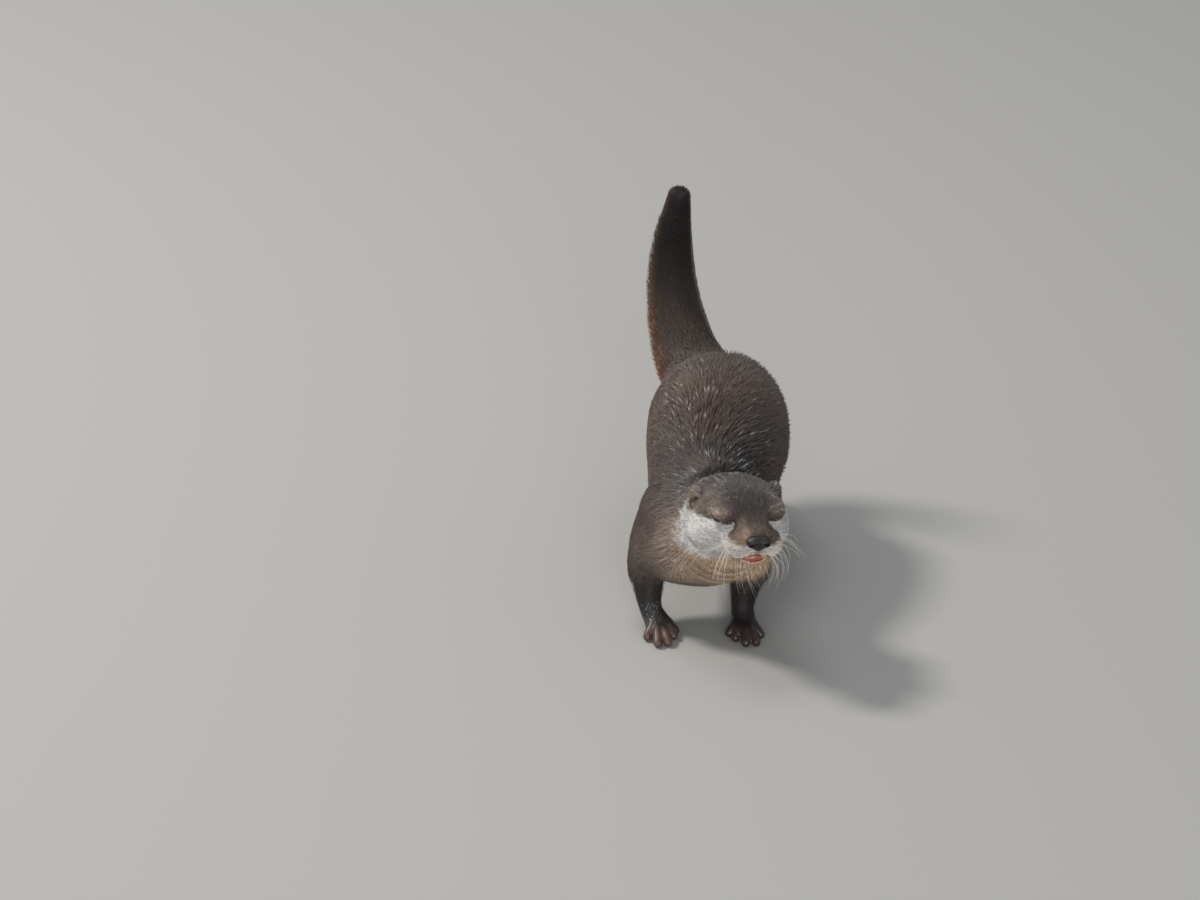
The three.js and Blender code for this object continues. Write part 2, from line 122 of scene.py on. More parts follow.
class Loft:
    """A bent body of oval section through stations (x, y, z, half width, half height)."""

    def __init__(self, stations, steps=None):
        stations = np.array(stations, float)
        steps = steps or 4 * len(stations)
        t = np.linspace(0, 1, steps + 1)
        near = 1e-4
        low, high = np.clip(t - near, 0, 1), np.clip(t + near, 0, 1)
        self.centre = through(stations[:, :3], t, True)
        self.way = unit(through(stations[:, :3], high, True) - through(stations[:, :3], low, True))
        self.side = unit(np.array([1.0, 0, 0]) - self.way * self.way[:, :1])
        self.up = np.cross(self.side, self.way)
        self.half = through(stations[:, 3:], t, False)
        reach = self.half.max() + MARGIN
        self.low, self.high = self.centre.min(0) - reach, self.centre.max(0) + reach

    def nearest(self, p):
        """For each point its stretch of the middle line and how far along that stretch."""
        start, step = self.centre[:-1], np.diff(self.centre, axis=0)
        best = np.full(len(p), np.inf)
        at, along = np.zeros(len(p), int), np.zeros(len(p))
        for i, (a, d) in enumerate(zip(start, step)):
            u = np.clip((p - a) @ d / (d @ d), 0, 1)
            gap = ((p - a - u[:, None] * d) ** 2).sum(1)
            closer = gap < best
            best[closer], at[closer], along[closer] = gap[closer], i, u[closer]
        return at, along[:, None]

    def __call__(self, p):
        value = np.full(len(p), FAR)
        close = ((p > self.low) & (p < self.high)).all(1)
        if close.any():
            value[close] = self.measure(p[close])
        return value

    def measure(self, p):
        at, w = self.nearest(p)
        offset = p - between(self.centre, at, w)
        across = [(offset * between(axis, at, w)).sum(1) for axis in (self.side, self.up, self.way)]
        half = between(self.half, at, w)
        return from_oval(np.column_stack(across), np.column_stack([half, half.min(1)]))

    def flow(self, p):
        """The way along the middle line at the nearest place on it."""
        at, w = self.nearest(p)
        return unit(between(self.way, at, w))


def joined(a, b, fillet):
    """Two forms' values as one, with a fillet where their surfaces meet."""
    h = np.maximum(fillet - np.abs(a - b), 0) / fillet
    return np.minimum(a, b) - h * h * fillet / 4


def blend(fillet, *forms):
    def form(p):
        value = forms[0](p)
        for other in forms[1:]:
            value = joined(value, other(p), fillet)
        return value

    return form


def hollow(fillet, body, cut):
    return lambda p: -joined(-body(p), cut(p), fillet)


def turn(degrees, axis):
    c, s = np.cos(np.radians(degrees)), np.sin(np.radians(degrees))
    i, j = [(1, 2), (2, 0), (0, 1)][axis]
    m = np.eye(3)
    m[i, i], m[i, j], m[j, i], m[j, j] = c, -s, s, c
    return m


HEAD_AT = np.array([24.5, -22, 128])
HEAD_YAW, HEAD_PITCH, HEAD_ROLL = 15, 5, 3
HEAD_TURN = turn(HEAD_YAW, 2) @ turn(HEAD_ROLL, 1) @ turn(-HEAD_PITCH, 0)
SKULL_HALF = 38
EYE_RADIUS = 5.5
EYE_AT = np.array([21, -33.5, 6])
EAR_AT = np.array([33.5, 4, 11])


def to_head(p):
    return (p - HEAD_AT) @ HEAD_TURN


def from_head(p):
    return np.asarray(p, float) @ HEAD_TURN.T + HEAD_AT


def on_head(form):
    return lambda p: form(to_head(p))


def section(x, y, top, bottom, wide):
    """A station of a loft, from the heights of its top and bottom."""
    return x, y, (top + bottom) / 2, wide, (top - bottom) / 2


SPINE = Loft(
    [
        section(21, -14, 149, 82, 37),
        section(13, 6, 149, 52, 44),
        section(3, 32, 152, 41, 50),
        section(4, 70, 157, 43, 52),
        section(10, 115, 168, 47, 59),
        section(12.5, 158, 176, 51, 61),
        section(13, 196, 174, 58, 57),
        section(10, 228, 154, 74, 42),
    ]
)
BRISKET = oval([-13, 14, 72], [45, 26, 28])
TORSO = blend(12, SPINE, BRISKET)
TAIL = Loft(
    [
        (9, 214, 122, 38, 36),
        (0, 244, 128, 34, 30),
        (-11, 266, 142, 30, 26),
        (-18, 280, 163, 27, 22.5),
        (-22.5, 288, 188, 24, 19.5),
        (-24, 289, 214, 21, 16.5),
        (-23.5, 286, 240, 17.6, 14),
        (-21.5, 281, 264, 14, 12),
        (-19, 276, 286, 10.8, 10),
    ]
)
FORE_MIDDLE, FORE_OUT, FORE_Y = -3, 36, 14
HIND_MIDDLE, HIND_OUT, HIND_Y = 13, 36, 242
FORE_JOINTS = [
    (29.5, 35, 99, 23, 29, 0),
    (37, 34, 76, 23, 27, 0),
    (42, 30, 52, 19.5, 21, -1.5),
    (40.5, 24, 35, 14, 15, -3.5),
    (38.5, FORE_Y + 3, 19, 9.8, 10, -3.5),
    (FORE_OUT, FORE_Y - 6, 7.6, 11, 8.4, 0),
]
HIND_JOINTS = [
    (30, 190, 112, 26, 42, 0),
    (38, 184, 84, 22, 36, 0),
    (39, 200, 60, 17, 27, 0),
    (37, 228, 41, 13, 18, 0),
    (HIND_OUT, HIND_Y + 10, 24, 10.5, 12, 0),
    (HIND_OUT, HIND_Y + 6, 9.6, 11, 10.2, 0),
    (HIND_OUT + 1, HIND_Y - 20, 7.6, 13, 8.4, 0),
]
TOES = [(-65, 0.55), (-33, 0.7), (-8, 0.98), (11, 1), (40, 0.66)]


def leg(side, middle, joints):
    return Loft([(middle + side * x + sway, y, z, wide, deep) for x, y, z, wide, deep, sway in joints])


def toes(side, palm_x, palm_y, reach, thick, turned):
    fan = []
    for out, share in TOES:
        bend = math.radians(side * out + turned)

        def step(s, z, r):
            far = reach * share * s
            return palm_x + math.sin(bend) * far, palm_y - math.cos(bend) * far, z, r, r

        knuckles = step(0, 8, thick), step(0.45, 10, thick), step(0.84, 6, thick)
        fan.append(Loft([*knuckles, step(1, 3.9, thick * 0.92)], 6))
    return fan


FORELEGS = {side: leg(side, FORE_MIDDLE, FORE_JOINTS) for side in (1, -1)}
HINDLEGS = {side: leg(side, HIND_MIDDLE, HIND_JOINTS) for side in (1, -1)}
FORETOES = {side: toes(side, FORE_MIDDLE + side * FORE_OUT, FORE_Y - 6, 27, 4.5, 10) for side in (1, -1)}
HINDTOES = {
    side: toes(side, HIND_MIDDLE + side * (HIND_OUT + 1), HIND_Y - 20, 30, 4.6, 0) for side in (1, -1)
}


# ---------------------------------------------------------------- the whole animal
SKULL = blend(
    16,
    oval([0, 4, 0], [SKULL_HALF, 40, 28]),
    pair([23, -6, -13], [18, 27, 17]),
    oval([0, -24, -3], [29, 24, 20]),
)
SNOUT = blend(
    8,
    oval([0, -43, -9], [19, 20, 14]),
    pair([11.5, -49, -12], [12.5, 13, 10.5]),
    oval([0, -46, 0], [9, 16, 8]),
)
CHIN = oval([0, -39, -23], [16.5, 21, 9])
BROWS = pair([19, -29, 14], [10, 11, 6])
EYE_HOLLOWS = pair([22, -42, 4], [7, 6, 5])
HEAD = hollow(5, blend(9, SKULL, SNOUT, CHIN, BROWS), EYE_HOLLOWS)
EAR_CUP_AT = EAR_AT + [3.2, -6, -0.5]
EAR = hollow(1.5, pair(EAR_AT, [5.2, 9, 8.5]), pair(EAR_CUP_AT, [4.8, 7.5, 6]))

LEGS = [
    blend(6, legs[side], blend(1.2, *paws[side]))
    for legs, paws in ((FORELEGS, FORETOES), (HINDLEGS, HINDTOES))
    for side in (1, -1)
]
OUTLINE = blend(10, blend(16, TORSO, on_head(HEAD)), TAIL, *LEGS)


def ramp(value, low, high):
    """Goes smoothly from 0 at low to 1 at high."""
    t = np.clip((value - low) / (high - low), 0, 1)
    return t * t * (3 - 2 * t)


def bell(value, middle, width):
    """1 at the middle, fading smoothly on both sides."""
    return np.exp(-(((value - middle) / width) ** 2))


def coat_depth(p):
    """How far the skin lies under the tips of the fur."""
    h = to_head(p)
    body = 3.5 - 2.0 * ramp(p[:, 2], 190, 280) * ramp(p[:, 1], 200, 240)
    body = np.minimum(body, 0.5 + 3.0 * ramp(p[:, 2], 14, 60))
    head = 0.45 + 0.75 * ramp(h[:, 1], -58, -34) + 2.3 * ramp(h[:, 1], -24, 24)
    return np.where((h[:, 1] < 24) & (h[:, 2] > -60), np.minimum(head, 3.5), body)


# ---------------------------------------------------------------- the face's own folds
EYE_SLIT_AT = 22
EYE_SLIT_HALF = 7.0
EYE_SLIT_TALL = 1.25


def slit_middle(x):
    """Height of the line where the lids meet: it drops towards the nose."""
    across = (x - EYE_SLIT_AT) / EYE_SLIT_HALF
    return EYE_AT[2] + 1.3 * across - 0.7 * (1 - across**2)


def slit_cut(h):
    """An almond between the lids, as deep as the eyeball."""
    across = (np.abs(h[:, 0]) - EYE_SLIT_AT) / EYE_SLIT_HALF
    tall = EYE_SLIT_TALL * np.sqrt(np.maximum(1 - across**2, 0.0)) + 0.05
    almond = np.abs(h[:, 2] - slit_middle(np.abs(h[:, 0]))) - tall
    almond = np.maximum(almond, (np.abs(across) - 1) * EYE_SLIT_HALF)
    return np.maximum(almond, -EYE_ROOMS(h))


EYE_ROOMS = pair(EYE_AT, [EYE_RADIUS - 0.3] * 3)
LID_BALLS = pair(EYE_AT, [EYE_RADIUS + 1.5, EYE_RADIUS + 0.9, EYE_RADIUS + 0.7])
MOUTH_SHIFT = -3.2
MOUTH_OPEN_HALF = 10.4


def mouth_height(x):
    """Height of the upper lip's edge, highest in the middle."""
    out = np.abs(x)
    return -15.0 + 0.07 * np.clip(x, -12, 12) - 2.4 * ramp(out, 1.5, 11) - 5.2 * ramp(out, 10, 20)


def lip_low(x):
    """Height of the lower lip's edge, lowest a little to one side."""
    open_part = np.clip(1 - (x / MOUTH_OPEN_HALF) ** 2, 0, 1)
    return mouth_height(x) - 0.9 - (mouth_height(x) + 21.4) * np.sqrt(open_part)


def mouth_cut(h):
    """The gap between the lips from corner to corner, open in front."""
    x = h[:, 0] - MOUTH_SHIFT
    low, high = lip_low(x), mouth_height(x)
    height = np.abs(h[:, 2] - (low + high) / 2) - (high - low) / 2
    return np.maximum(height, np.maximum(np.abs(h[:, 0]) - 17, h[:, 1] + 34))


def philtrum(h):
    """The groove from the nose down to the lip."""
    return np.maximum(np.abs(h[:, 0]) - 0.45, np.maximum(h[:, 2] + 9.5, -h[:, 2] - 15))


FOLDS = [(slit_cut, 2.2, 0.4), (mouth_cut, 2.6, 0.8), (philtrum, 0.7, 0.6)]


def plain_form(p):
    """The bare skin under the coat, without its fine folds."""
    value = OUTLINE(p) + coat_depth(p)
    h = to_head(p)
    near = (np.abs(h) < [60, 75, 60]).all(1)
    if near.any():
        q = h[near]
        v = joined(value[near], EAR(q) + 0.5, 4)
        value[near] = joined(v, LID_BALLS(q), 4)
    return value


def skin_form(p):
    """The bare skin with its lids, lips and the groove under the nose."""
    value = plain_form(p)
    h = to_head(p)
    near = ((h > [-32, -75, -40]) & (h < [32, -20, 25])).all(1)
    if near.any():
        q, v = h[near], value[near]
        skin = v.copy()
        for cut, depth, fillet in FOLDS:
            v = -joined(-v, np.maximum(cut(q), -depth - skin), fillet)
        value[near] = v
    return value


# ---------------------------------------------------------------- from the forms to the row's frame
EYE_BOX = [np.array(v) * 1000 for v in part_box("eye_left")]
SHIFT = (EYE_BOX[0] + EYE_BOX[1]) / 2 - from_head([EYE_AT])[0]


def to_frame(p):
    """From the forms' millimetres to the row's metres."""
    return (np.asarray(p) + SHIFT) / 1000


def to_forms(p):
    return np.asarray(p) * 1000 - SHIFT


# ---------------------------------------------------------------- meshes
def column(items, name, width, kind=np.float32):
    """One value of each item, as rows of width numbers."""
    out = np.empty(len(items) * width, kind)
    items.foreach_get(name, out)
    return out.reshape(-1, width)


def points_of(mesh):
    return column(mesh.vertices, "co", 3).astype(float)


def normals_of(mesh):
    return column(mesh.vertex_normals, "vector", 3).astype(float)


def set_points(mesh, p):
    mesh.vertices.foreach_set("co", np.asarray(p, np.float32).ravel())
    mesh.update()


def add_object(name, data):
    made = bpy.data.objects.new(name, data)
    bpy.context.scene.collection.objects.link(made)
    return made


def add_mesh(name, points, faces):
    """A smooth-shaded object from points in metres and faces of one size."""
    faces = np.asarray(faces, np.int32)
    mesh = bpy.data.meshes.new(name)
    mesh.vertices.add(len(points))
    mesh.vertices.foreach_set("co", np.asarray(points, np.float32).ravel())
    mesh.loops.add(faces.size)
    mesh.loops.foreach_set("vertex_index", faces.ravel())
    mesh.polygons.add(len(faces))
    mesh.polygons.foreach_set("loop_start", np.arange(0, faces.size, faces.shape[1], dtype=np.int32))
    mesh.polygons.foreach_set("use_smooth", np.ones(len(faces), bool))
    mesh.update(calc_edges=True)
    return add_object(name, mesh)


def netted(form, low, high, cell, block=6):
    """Points and four-sided faces of the closed surface where the form is zero, on a grid of cells."""
    low = np.array(low, float)
    count = np.ceil((np.array(high) - low) / (cell * block)).astype(int)
    places = np.indices(count).reshape(3, -1).T
    value = form(low + (places + 0.5) * cell * block).reshape(count)
    near = np.abs(value) < cell * block * 1.5
    for axis in range(3):
        near, value = np.repeat(near, block, axis), np.repeat(value, block, axis)
    edge = [(0, 1)] * 3
    near, value = np.pad(near, edge), np.pad(value, edge, mode="edge")
    for axis in range(3):
        near = near | np.roll(near, 1, axis)
    value[near] = form(low + np.argwhere(near) * cell)
    inside = value < 0

    corners = np.array(list(np.ndindex(2, 2, 2)))
    filled = sum(inside[tuple(slice(s, s - 1 or None) for s in a)].astype(int) for a in corners)
    cells = np.argwhere((filled > 0) & (filled < 8))
    number = np.full(filled.shape, -1)
    number[tuple(cells.T)] = np.arange(len(cells))
    total, hits = np.zeros((len(cells), 3)), np.zeros(len(cells))
    for a, b in itertools.product(corners, corners):
        if (b - a).sum() != 1 or np.abs(b - a).sum() != 1:
            continue
        va, vb = value[tuple((cells + a).T)], value[tuple((cells + b).T)]
        crosses = (va < 0) != (vb < 0)
        t = np.where(crosses, va / np.where(crosses, va - vb, 1), 0)
        total += crosses[:, None] * (a + (b - a) * t[:, None])
        hits += crosses
    points = low + (cells + total / hits[:, None]) * cell

    faces = []
    for axis in range(3):
        j, k = np.eye(3, dtype=int)[[(axis + 1) % 3, (axis + 2) % 3]]
        start, end = np.delete(inside, -1, axis), np.delete(inside, 0, axis)
        at = np.argwhere(start != end)
        quad = np.column_stack([number[tuple((at - back).T)] for back in (0 * j, j, j + k, k)])
        enters = ~start[tuple(at.T)]
        quad[enters] = quad[enters][:, ::-1]
        faces.append(quad)
    return points, np.vstack(faces)


def refined(mesh, wanted):
    """Cuts each face in four where wanted says so."""
    made = bmesh.new()
    made.from_mesh(mesh)
    centres = np.array([f.calc_center_median() for f in made.faces])
    chosen = wanted(to_forms(centres))
    edges = {e for f, pick in zip(made.faces, chosen) if pick for e in f.edges}
    bmesh.ops.subdivide_edges(made, edges=list(edges), cuts=1, use_grid_fill=True)
    bmesh.ops.triangulate(made, faces=[f for f in made.faces if len(f.verts) > 4])
    for face in made.faces:
        face.smooth = True
    made.to_mesh(mesh)
    made.free()
    mesh.update()


def everywhere(p):
    return np.ones(len(p), bool)


def settled(mesh, form, rounds, limit, where=everywhere):
    """Moves each point along its normal onto the form's surface."""
    p = to_forms(points_of(mesh))
    near = where(p)
    for _ in range(rounds):
        step = np.clip(form(p[near]), -limit, limit)
        p[near] -= normals_of(mesh)[near] * step[:, None]
        set_points(mesh, to_frame(p))


def neighbours_middle(mesh, p):
    """For each point the middle of the points it shares an edge with."""
    ends = column(mesh.edges, "vertices", 2, np.int32)
    total = np.zeros_like(p)
    for a, b in (ends.T, ends.T[::-1]):
        total += np.column_stack([np.bincount(a, p[b, axis], len(p)) for axis in range(3)])
    count = np.bincount(ends.ravel(), minlength=len(p))
    return total / np.maximum(count, 1)[:, None]


def relaxed(mesh, rounds, share=0.5):
    """Evens out the points' spacing along the surface."""
    for _ in range(rounds):
        p, n = points_of(mesh), normals_of(mesh)
        move = neighbours_middle(mesh, p) - p
        move -= n * (move * n).sum(1, keepdims=True)
        set_points(mesh, p + move * share)


def smoothed(mesh, rounds, amount):
    """Softens the surface, as much at each point as amount says, from 0 to 1."""
    share = amount(to_forms(points_of(mesh)))[:, None]
    for _ in range(rounds):
        p = points_of(mesh)
        set_points(mesh, p + (neighbours_middle(mesh, p) - p) * share * 0.6)


# ---------------------------------------------------------------- skin
FLESH = [
    "trunk", "neck", "head", "face", "lower_jaw", "ear_left", "ear_right", "tail_root", "tail_tip",
    "foreleg_left", "foreleg_right", "hindleg_left", "hindleg_right",
    "forefoot_left", "forefoot_right", "hindfoot_left", "hindfoot_right",
]  # fmt: skip
SKIN_CELL = 2.2
GROUND_GAP = 0.0002


def fine_parts(p):
    h = to_head(p)
    return ((h[:, 1] < 10) & (h[:, 2] > -32)) | (p[:, 2] < 20)


def folds_near(p, reach):
    """True near the lids, the lips and the ears."""
    h = to_head(p)
    x = np.abs(h[:, 0])
    eyes = np.linalg.norm((one_sided(h) - [EYE_SLIT_AT, -36, 6]) / [2, 1, 1], axis=1) < 2.2 + reach
    lips = (np.abs(h[:, 2] - mouth_height(h[:, 0] - MOUTH_SHIFT) + 2) < 3 + reach) & (h[:, 1] < -26)
    return eyes | (lips & (x < 24))


def finest_parts(p):
    ears = np.linalg.norm((one_sided(to_head(p)) - EAR_AT) / [10, 13, 14], axis=1) < 1
    return folds_near(p, 4) | ears


def lid_parts(p):
    h = to_head(p)
    x = np.abs(h[:, 0])
    slit = (np.abs(h[:, 2] - slit_middle(x)) < 2.2) & (np.abs(x - EYE_SLIT_AT) < EYE_SLIT_HALF + 1)
    lips = (np.abs(h[:, 2] - mouth_height(h[:, 0] - MOUTH_SHIFT) + 3) < 5) & (x < 16)
    return (slit & (h[:, 1] < -28)) | (lips & (h[:, 1] < -50))


def body_only(p):
    """1 over the neck and trunk, 0 at the face, the feet and the tail."""
    h = to_head(p)
    return ramp(h[:, 1], -4, 14) * ramp(p[:, 2], 30, 50) * (1 - ramp(p[:, 1], 225, 250))


def nape_crease(p):
    """1 in the fold between the head and the neck."""
    h = to_head(p)
    return bell(h[:, 1], 27, 12) * ramp(h[:, 2], -32, -8)


def make_skin():
    low, high = (np.array(v) * 1000 - SHIFT for v in cad_box)
    points, faces = netted(plain_form, low - 5, high + 5, SKIN_CELL)
    skin = add_mesh("skin", to_frame(points), faces)
    mesh = skin.data
    settled(mesh, plain_form, 2, 1.0)
    smoothed(mesh, 8, body_only)
    smoothed(mesh, 18, nape_crease)
    relaxed(mesh, 2)
    for parts in (fine_parts, finest_parts, lid_parts):
        refined(mesh, parts)
        settled(mesh, plain_form, 1, 0.8, parts)
    relaxed(mesh, 1)
    settled(mesh, skin_form, 6, 0.7, lambda p: folds_near(p, 5))
    p = points_of(mesh)
    p[:, 2] = np.maximum(p[:, 2], GROUND_GAP)
    set_points(mesh, p)
    return skin


# ---------------------------------------------------------------- lie of the coat
NOSE_AT = np.array([0, -66, -6])


def lie(p, n):
    """The way the coat lies: back from the nose, down the legs, along the body to the tail's tip."""
    h = to_head(p)
    back_from_nose = unit(h - NOSE_AT) * [1, 1, 0.8] + [0, 0.25, -0.1]
    out = np.column_stack([(p[:, 0] - 2) / 60 * ramp(n[:, 2], -0.05, 0.5), 0 * p[:, 0], 0 * p[:, 0]])
    down = np.array([0, 0, -1.0])
    ways = [
        (on_head(HEAD)(p), back_from_nose @ HEAD_TURN.T),
        (TORSO(p), SPINE.flow(p) + 0.75 * out + 0.35 * down),
        (TAIL(p) + 4, TAIL.flow(p)),
    ]
    for side in (1, -1):
        for loft in (FORELEGS[side], HINDLEGS[side]):
            ways.append((loft(p) + 3, loft.flow(p)))
    least = np.min([value for value, _ in ways], axis=0)
    total = sum(np.exp(-np.minimum(value - least, FAR) / 7)[:, None] * unit(way) for value, way in ways)
    return along_surface(total, n)


def along_surface(way, n):
    return unit(way - n * (way * n).sum(1, keepdims=True))


def cloud(seed, size=32):
    """A smooth random value from -1 to 1 that changes over about one unit."""
    lattice = np.random.default_rng(seed).uniform(-1, 1, (size, size, size))

    def value(p):
        base = np.floor(p).astype(int)
        w = p - base
        w = w * w * (3 - 2 * w)
        total = np.zeros(len(p))
        for i, j, k in np.ndindex(2, 2, 2):
            share = np.where([i, j, k], w, 1 - w).prod(1)
            total += lattice[tuple(((base + [i, j, k]) % size).T)] * share
        return total

    return value


BROAD, MIDDLING, FINE, OTHER = cloud(11), cloud(12), cloud(13), cloud(14)


def from_ear(h):
    """Distance from the middle of an ear: 1 is about its edge."""
    return np.linalg.norm((one_sided(h) - EAR_AT) / [9, 12, 12], axis=1)


def hair_length(p):
    """Length of the tufts in millimetres, shortest on the face and the feet."""
    h = to_head(p)
    y = h[:, 1]
    length = 1.5 + 1.7 * ramp(y, -62, -34) + 4.6 * ramp(y, -38, 0) + 1.2 * ramp(y, 12, 60)
    cheek = ramp(-h[:, 2], 2, 16) * ramp(y, -42, -18) * (1 - ramp(y, 30, 60))
    length = length + 2.2 * cheek
    length = np.minimum(length, 1.5 + 9.0 * ramp(p[:, 2], 14, 62))
    length = np.minimum(length, 2.4 + 5 * ramp(from_ear(h), 0.9, 1.6))
    return length * (1 - 0.35 * ramp(p[:, 1], 225, 255) * ramp(p[:, 2], 90, 120))


# ---------------------------------------------------------------- markings
def paint(red, green, blue):
    """A screen colour as the linear one that materials use."""
    c = np.array([red, green, blue]) / 255
    return np.where(c < 0.04045, c / 12.92, ((c + 0.055) / 1.055) ** 2.4)


BACK_BROWN = paint(67, 58, 52)
SADDLE_BROWN = paint(82, 58, 45)
# The flanks' brown is warmer than the fur's own: partly painted warm bounce light from the ground.
FLANK_BROWN_AND_BOUNCE = paint(86, 63, 46)
# Patches on top of the back: middle across and along, width, depth, colour and share. The first two are the
# fur's own browner patches; the rest are painted sheen and painted shade.
BACK_TONES_AND_PAINTED_LIGHT = [
    (-6, 74, 20, 14, paint(84, 60, 47), 0.8),
    (30, 138, 20, 18, paint(82, 60, 48), 0.7),
    # Painted sheen: a greyer patch on the right of the back.
    (-24, 92, 16, 32, paint(89, 79, 74), 0.7),
    # Painted shade: the left side of the back, turned away from the light.
    (40, 42, 22, 34, paint(51, 45, 43), 0.8),
    # Painted sheen: a light grey patch on the right of the nape.
    (-12, 10, 22, 13, paint(116, 112, 111), 0.8),
    # Painted shade: a darker band on the left of the nape, close behind the head.
    (30, 22, 26, 8, paint(56, 50, 47), 0.4),
]
SHOULDER_BROWN = paint(116, 101, 93)
BELLY_BUFF = paint(128, 110, 95)
LEG_BROWN = paint(43, 37, 34)
TOE_BROWN = paint(83, 61, 54)
TAIL_BROWN = paint(84, 71, 62)
# The tail's tip colour is partly painted shade; the edge colour below is painted warm light.
TAIL_TIP_BROWN_AND_SHADE = paint(27, 20, 17)
TAIL_PAINTED_LIGHT = paint(116, 78, 50)
CROWN_GREY = paint(84, 77, 75)
TEMPLE_TAN = paint(116, 103, 94)
FOREHEAD_BROWN = paint(58, 50, 47)
MASK_BROWN = paint(128, 107, 95)
MUZZLE_BROWN = paint(168, 140, 121)
CHEEK_WHITE = paint(226, 224, 221)
LIP_CREAM = paint(228, 224, 216)
THROAT_BUFF = paint(198, 170, 143)
NECK_BUFF = paint(164, 147, 135)
LID_BLACK = paint(34, 27, 25)
LIP_PINK = paint(190, 162, 136)
GUM_PINK = paint(162, 104, 90)
EAR_RIM = paint(150, 132, 118)
BROW_TAN = paint(196, 177, 162)
RUST = paint(150, 98, 74)
EAR_DARK = paint(104, 90, 82)
GLINT = paint(162, 168, 176)
WET_SHEEN = paint(142, 148, 154)
IRIS_BROWN = paint(60, 36, 22)
EYE_RIM_BROWN = paint(58, 44, 40)
PUPIL_BLACK = paint(6, 5, 5)


def mixed(colour, other, share):
    return colour * (1 - share[:, None]) + other * share[:, None]


def white_edge(y):
    """Height on the head below which the fur is white: under the eye, then lower along the muzzle."""
    return 3.6 + 1.6 * bell(y, -34, 6) - 8.2 * ramp(-y, 39, 46) - 3.4 * ramp(-y, 47, 64)


def whiteness(h):
    """How white the fur of the cheeks and the upper lip is, from 0 to 1."""
    x, y, z = h.T
    feather = np.where(z < -12, 0.5 + 1.6 * ramp(y, -44, -14), 1)
    ragged = z + 0.7 * OTHER(h / 4) + 1.2 * FINE(h / [6, 6, 1.6]) * feather
    sharp = 1.3 + 2.2 * ramp(y, -26, 8) + 0.4 * ramp(-y, 42, 50)
    upper = ramp(white_edge(y) - ragged, -sharp, sharp)
    lower = ramp(ragged + 24 + 11 * ramp(y, -38, -8), -5, 3)
    lip = ramp(ragged - mouth_height(x - MOUTH_SHIFT), -0.6, 0.4)
    lower = np.where(y < -44, np.minimum(lower, lip), lower)
    return upper * lower * (1 - ramp(y + 9 * FINE(h / [1.6, 9, 1.6]), 12, 34))


def on_tail(p):
    """1 over the tail, fading out at its root."""
    return ramp(p[:, 1], 222, 250) * ramp(p[:, 2], 104, 135)


def on_breast(p):
    """1 over the buff front between the forelegs."""
    x, y, z = p.T
    return (1 - ramp(z, 78, 128)) * (1 - ramp(y, -8, 40)) * (1 - ramp(np.abs(x - 15), 34, 56))


def back_tones_and_painted_light(p, n, colour):
    """Soft patches on top of the back: browner patches of the fur's own colour, and painted sheen and painted
    shade.
    """
    top = ramp(n[:, 2], 0.1, 0.6)
    for x, y, wide, deep, tone, share in BACK_TONES_AND_PAINTED_LIGHT:
        near = bell(p[:, 0], x, wide) * bell(p[:, 1], y, deep)
        near = np.clip(near * (1 + 0.5 * MIDDLING(p / 9)), 0, 1)
        colour = mixed(colour, tone, near * top * share)
    return colour


def body_marking(p, n):
    """Brown back and flanks, greyer shoulders, buff belly, chest and neck. The flanks' warmth is partly
    painted bounce light; the rump's lighter top, the lightened fold behind the head and some patches on the
    back are painted sheen and shade.
    """
    x, y, z = p.T
    h = to_head(p)
    top = n[:, 2]
    # The sides take the warmer flank brown, partly the fur's colour and partly painted bounce light.
    colour = mixed(BACK_BROWN, FLANK_BROWN_AND_BOUNCE, 1 - ramp(top, 0.1, 0.85))
    saddle = bell(y, 110, 40) * ramp(top, 0.4, 0.9)
    colour = mixed(colour, SADDLE_BROWN, saddle * (0.6 + 0.4 * BROAD(p / 22)))
    # Painted sheen: the top of the rump is lightened, as where light from above and behind catches the fur.
    rump = ramp(y, 95, 155) * ramp(top, 0.2, 0.7)
    colour = colour * (1 + 1.2 * rump)[:, None]
    colour = mixed(colour, BELLY_BUFF, ramp(-top, 0.45, 0.95) * ramp(z, 38, 50))
    over = ramp(top, 0.3, 0.8) * ramp(x, -50, -20)
    colour = mixed(colour, SHOULDER_BROWN, (1 - ramp(y, 20, 60)) * 0.8 * (1 - 0.7 * over))
    colour = mixed(colour, THROAT_BUFF, on_breast(p))
    neck = (1 - ramp(np.abs(h[:, 1] - 20), 10, 34)) * (1 - ramp(h[:, 2], -24, 8))
    colour = mixed(colour, NECK_BUFF, neck * 0.75)
    colour = back_tones_and_painted_light(p, n, colour)
    # Painted light: the fold behind the head is lightened, except on its left side, to soften the shade in
    # it.
    painted_fold_light = bell(h[:, 1], 32, 9) * ramp(h[:, 2], -8, 8) * (1 - ramp(x, 5, 30))
    return colour * (1 + 0.7 * painted_fold_light)[:, None]


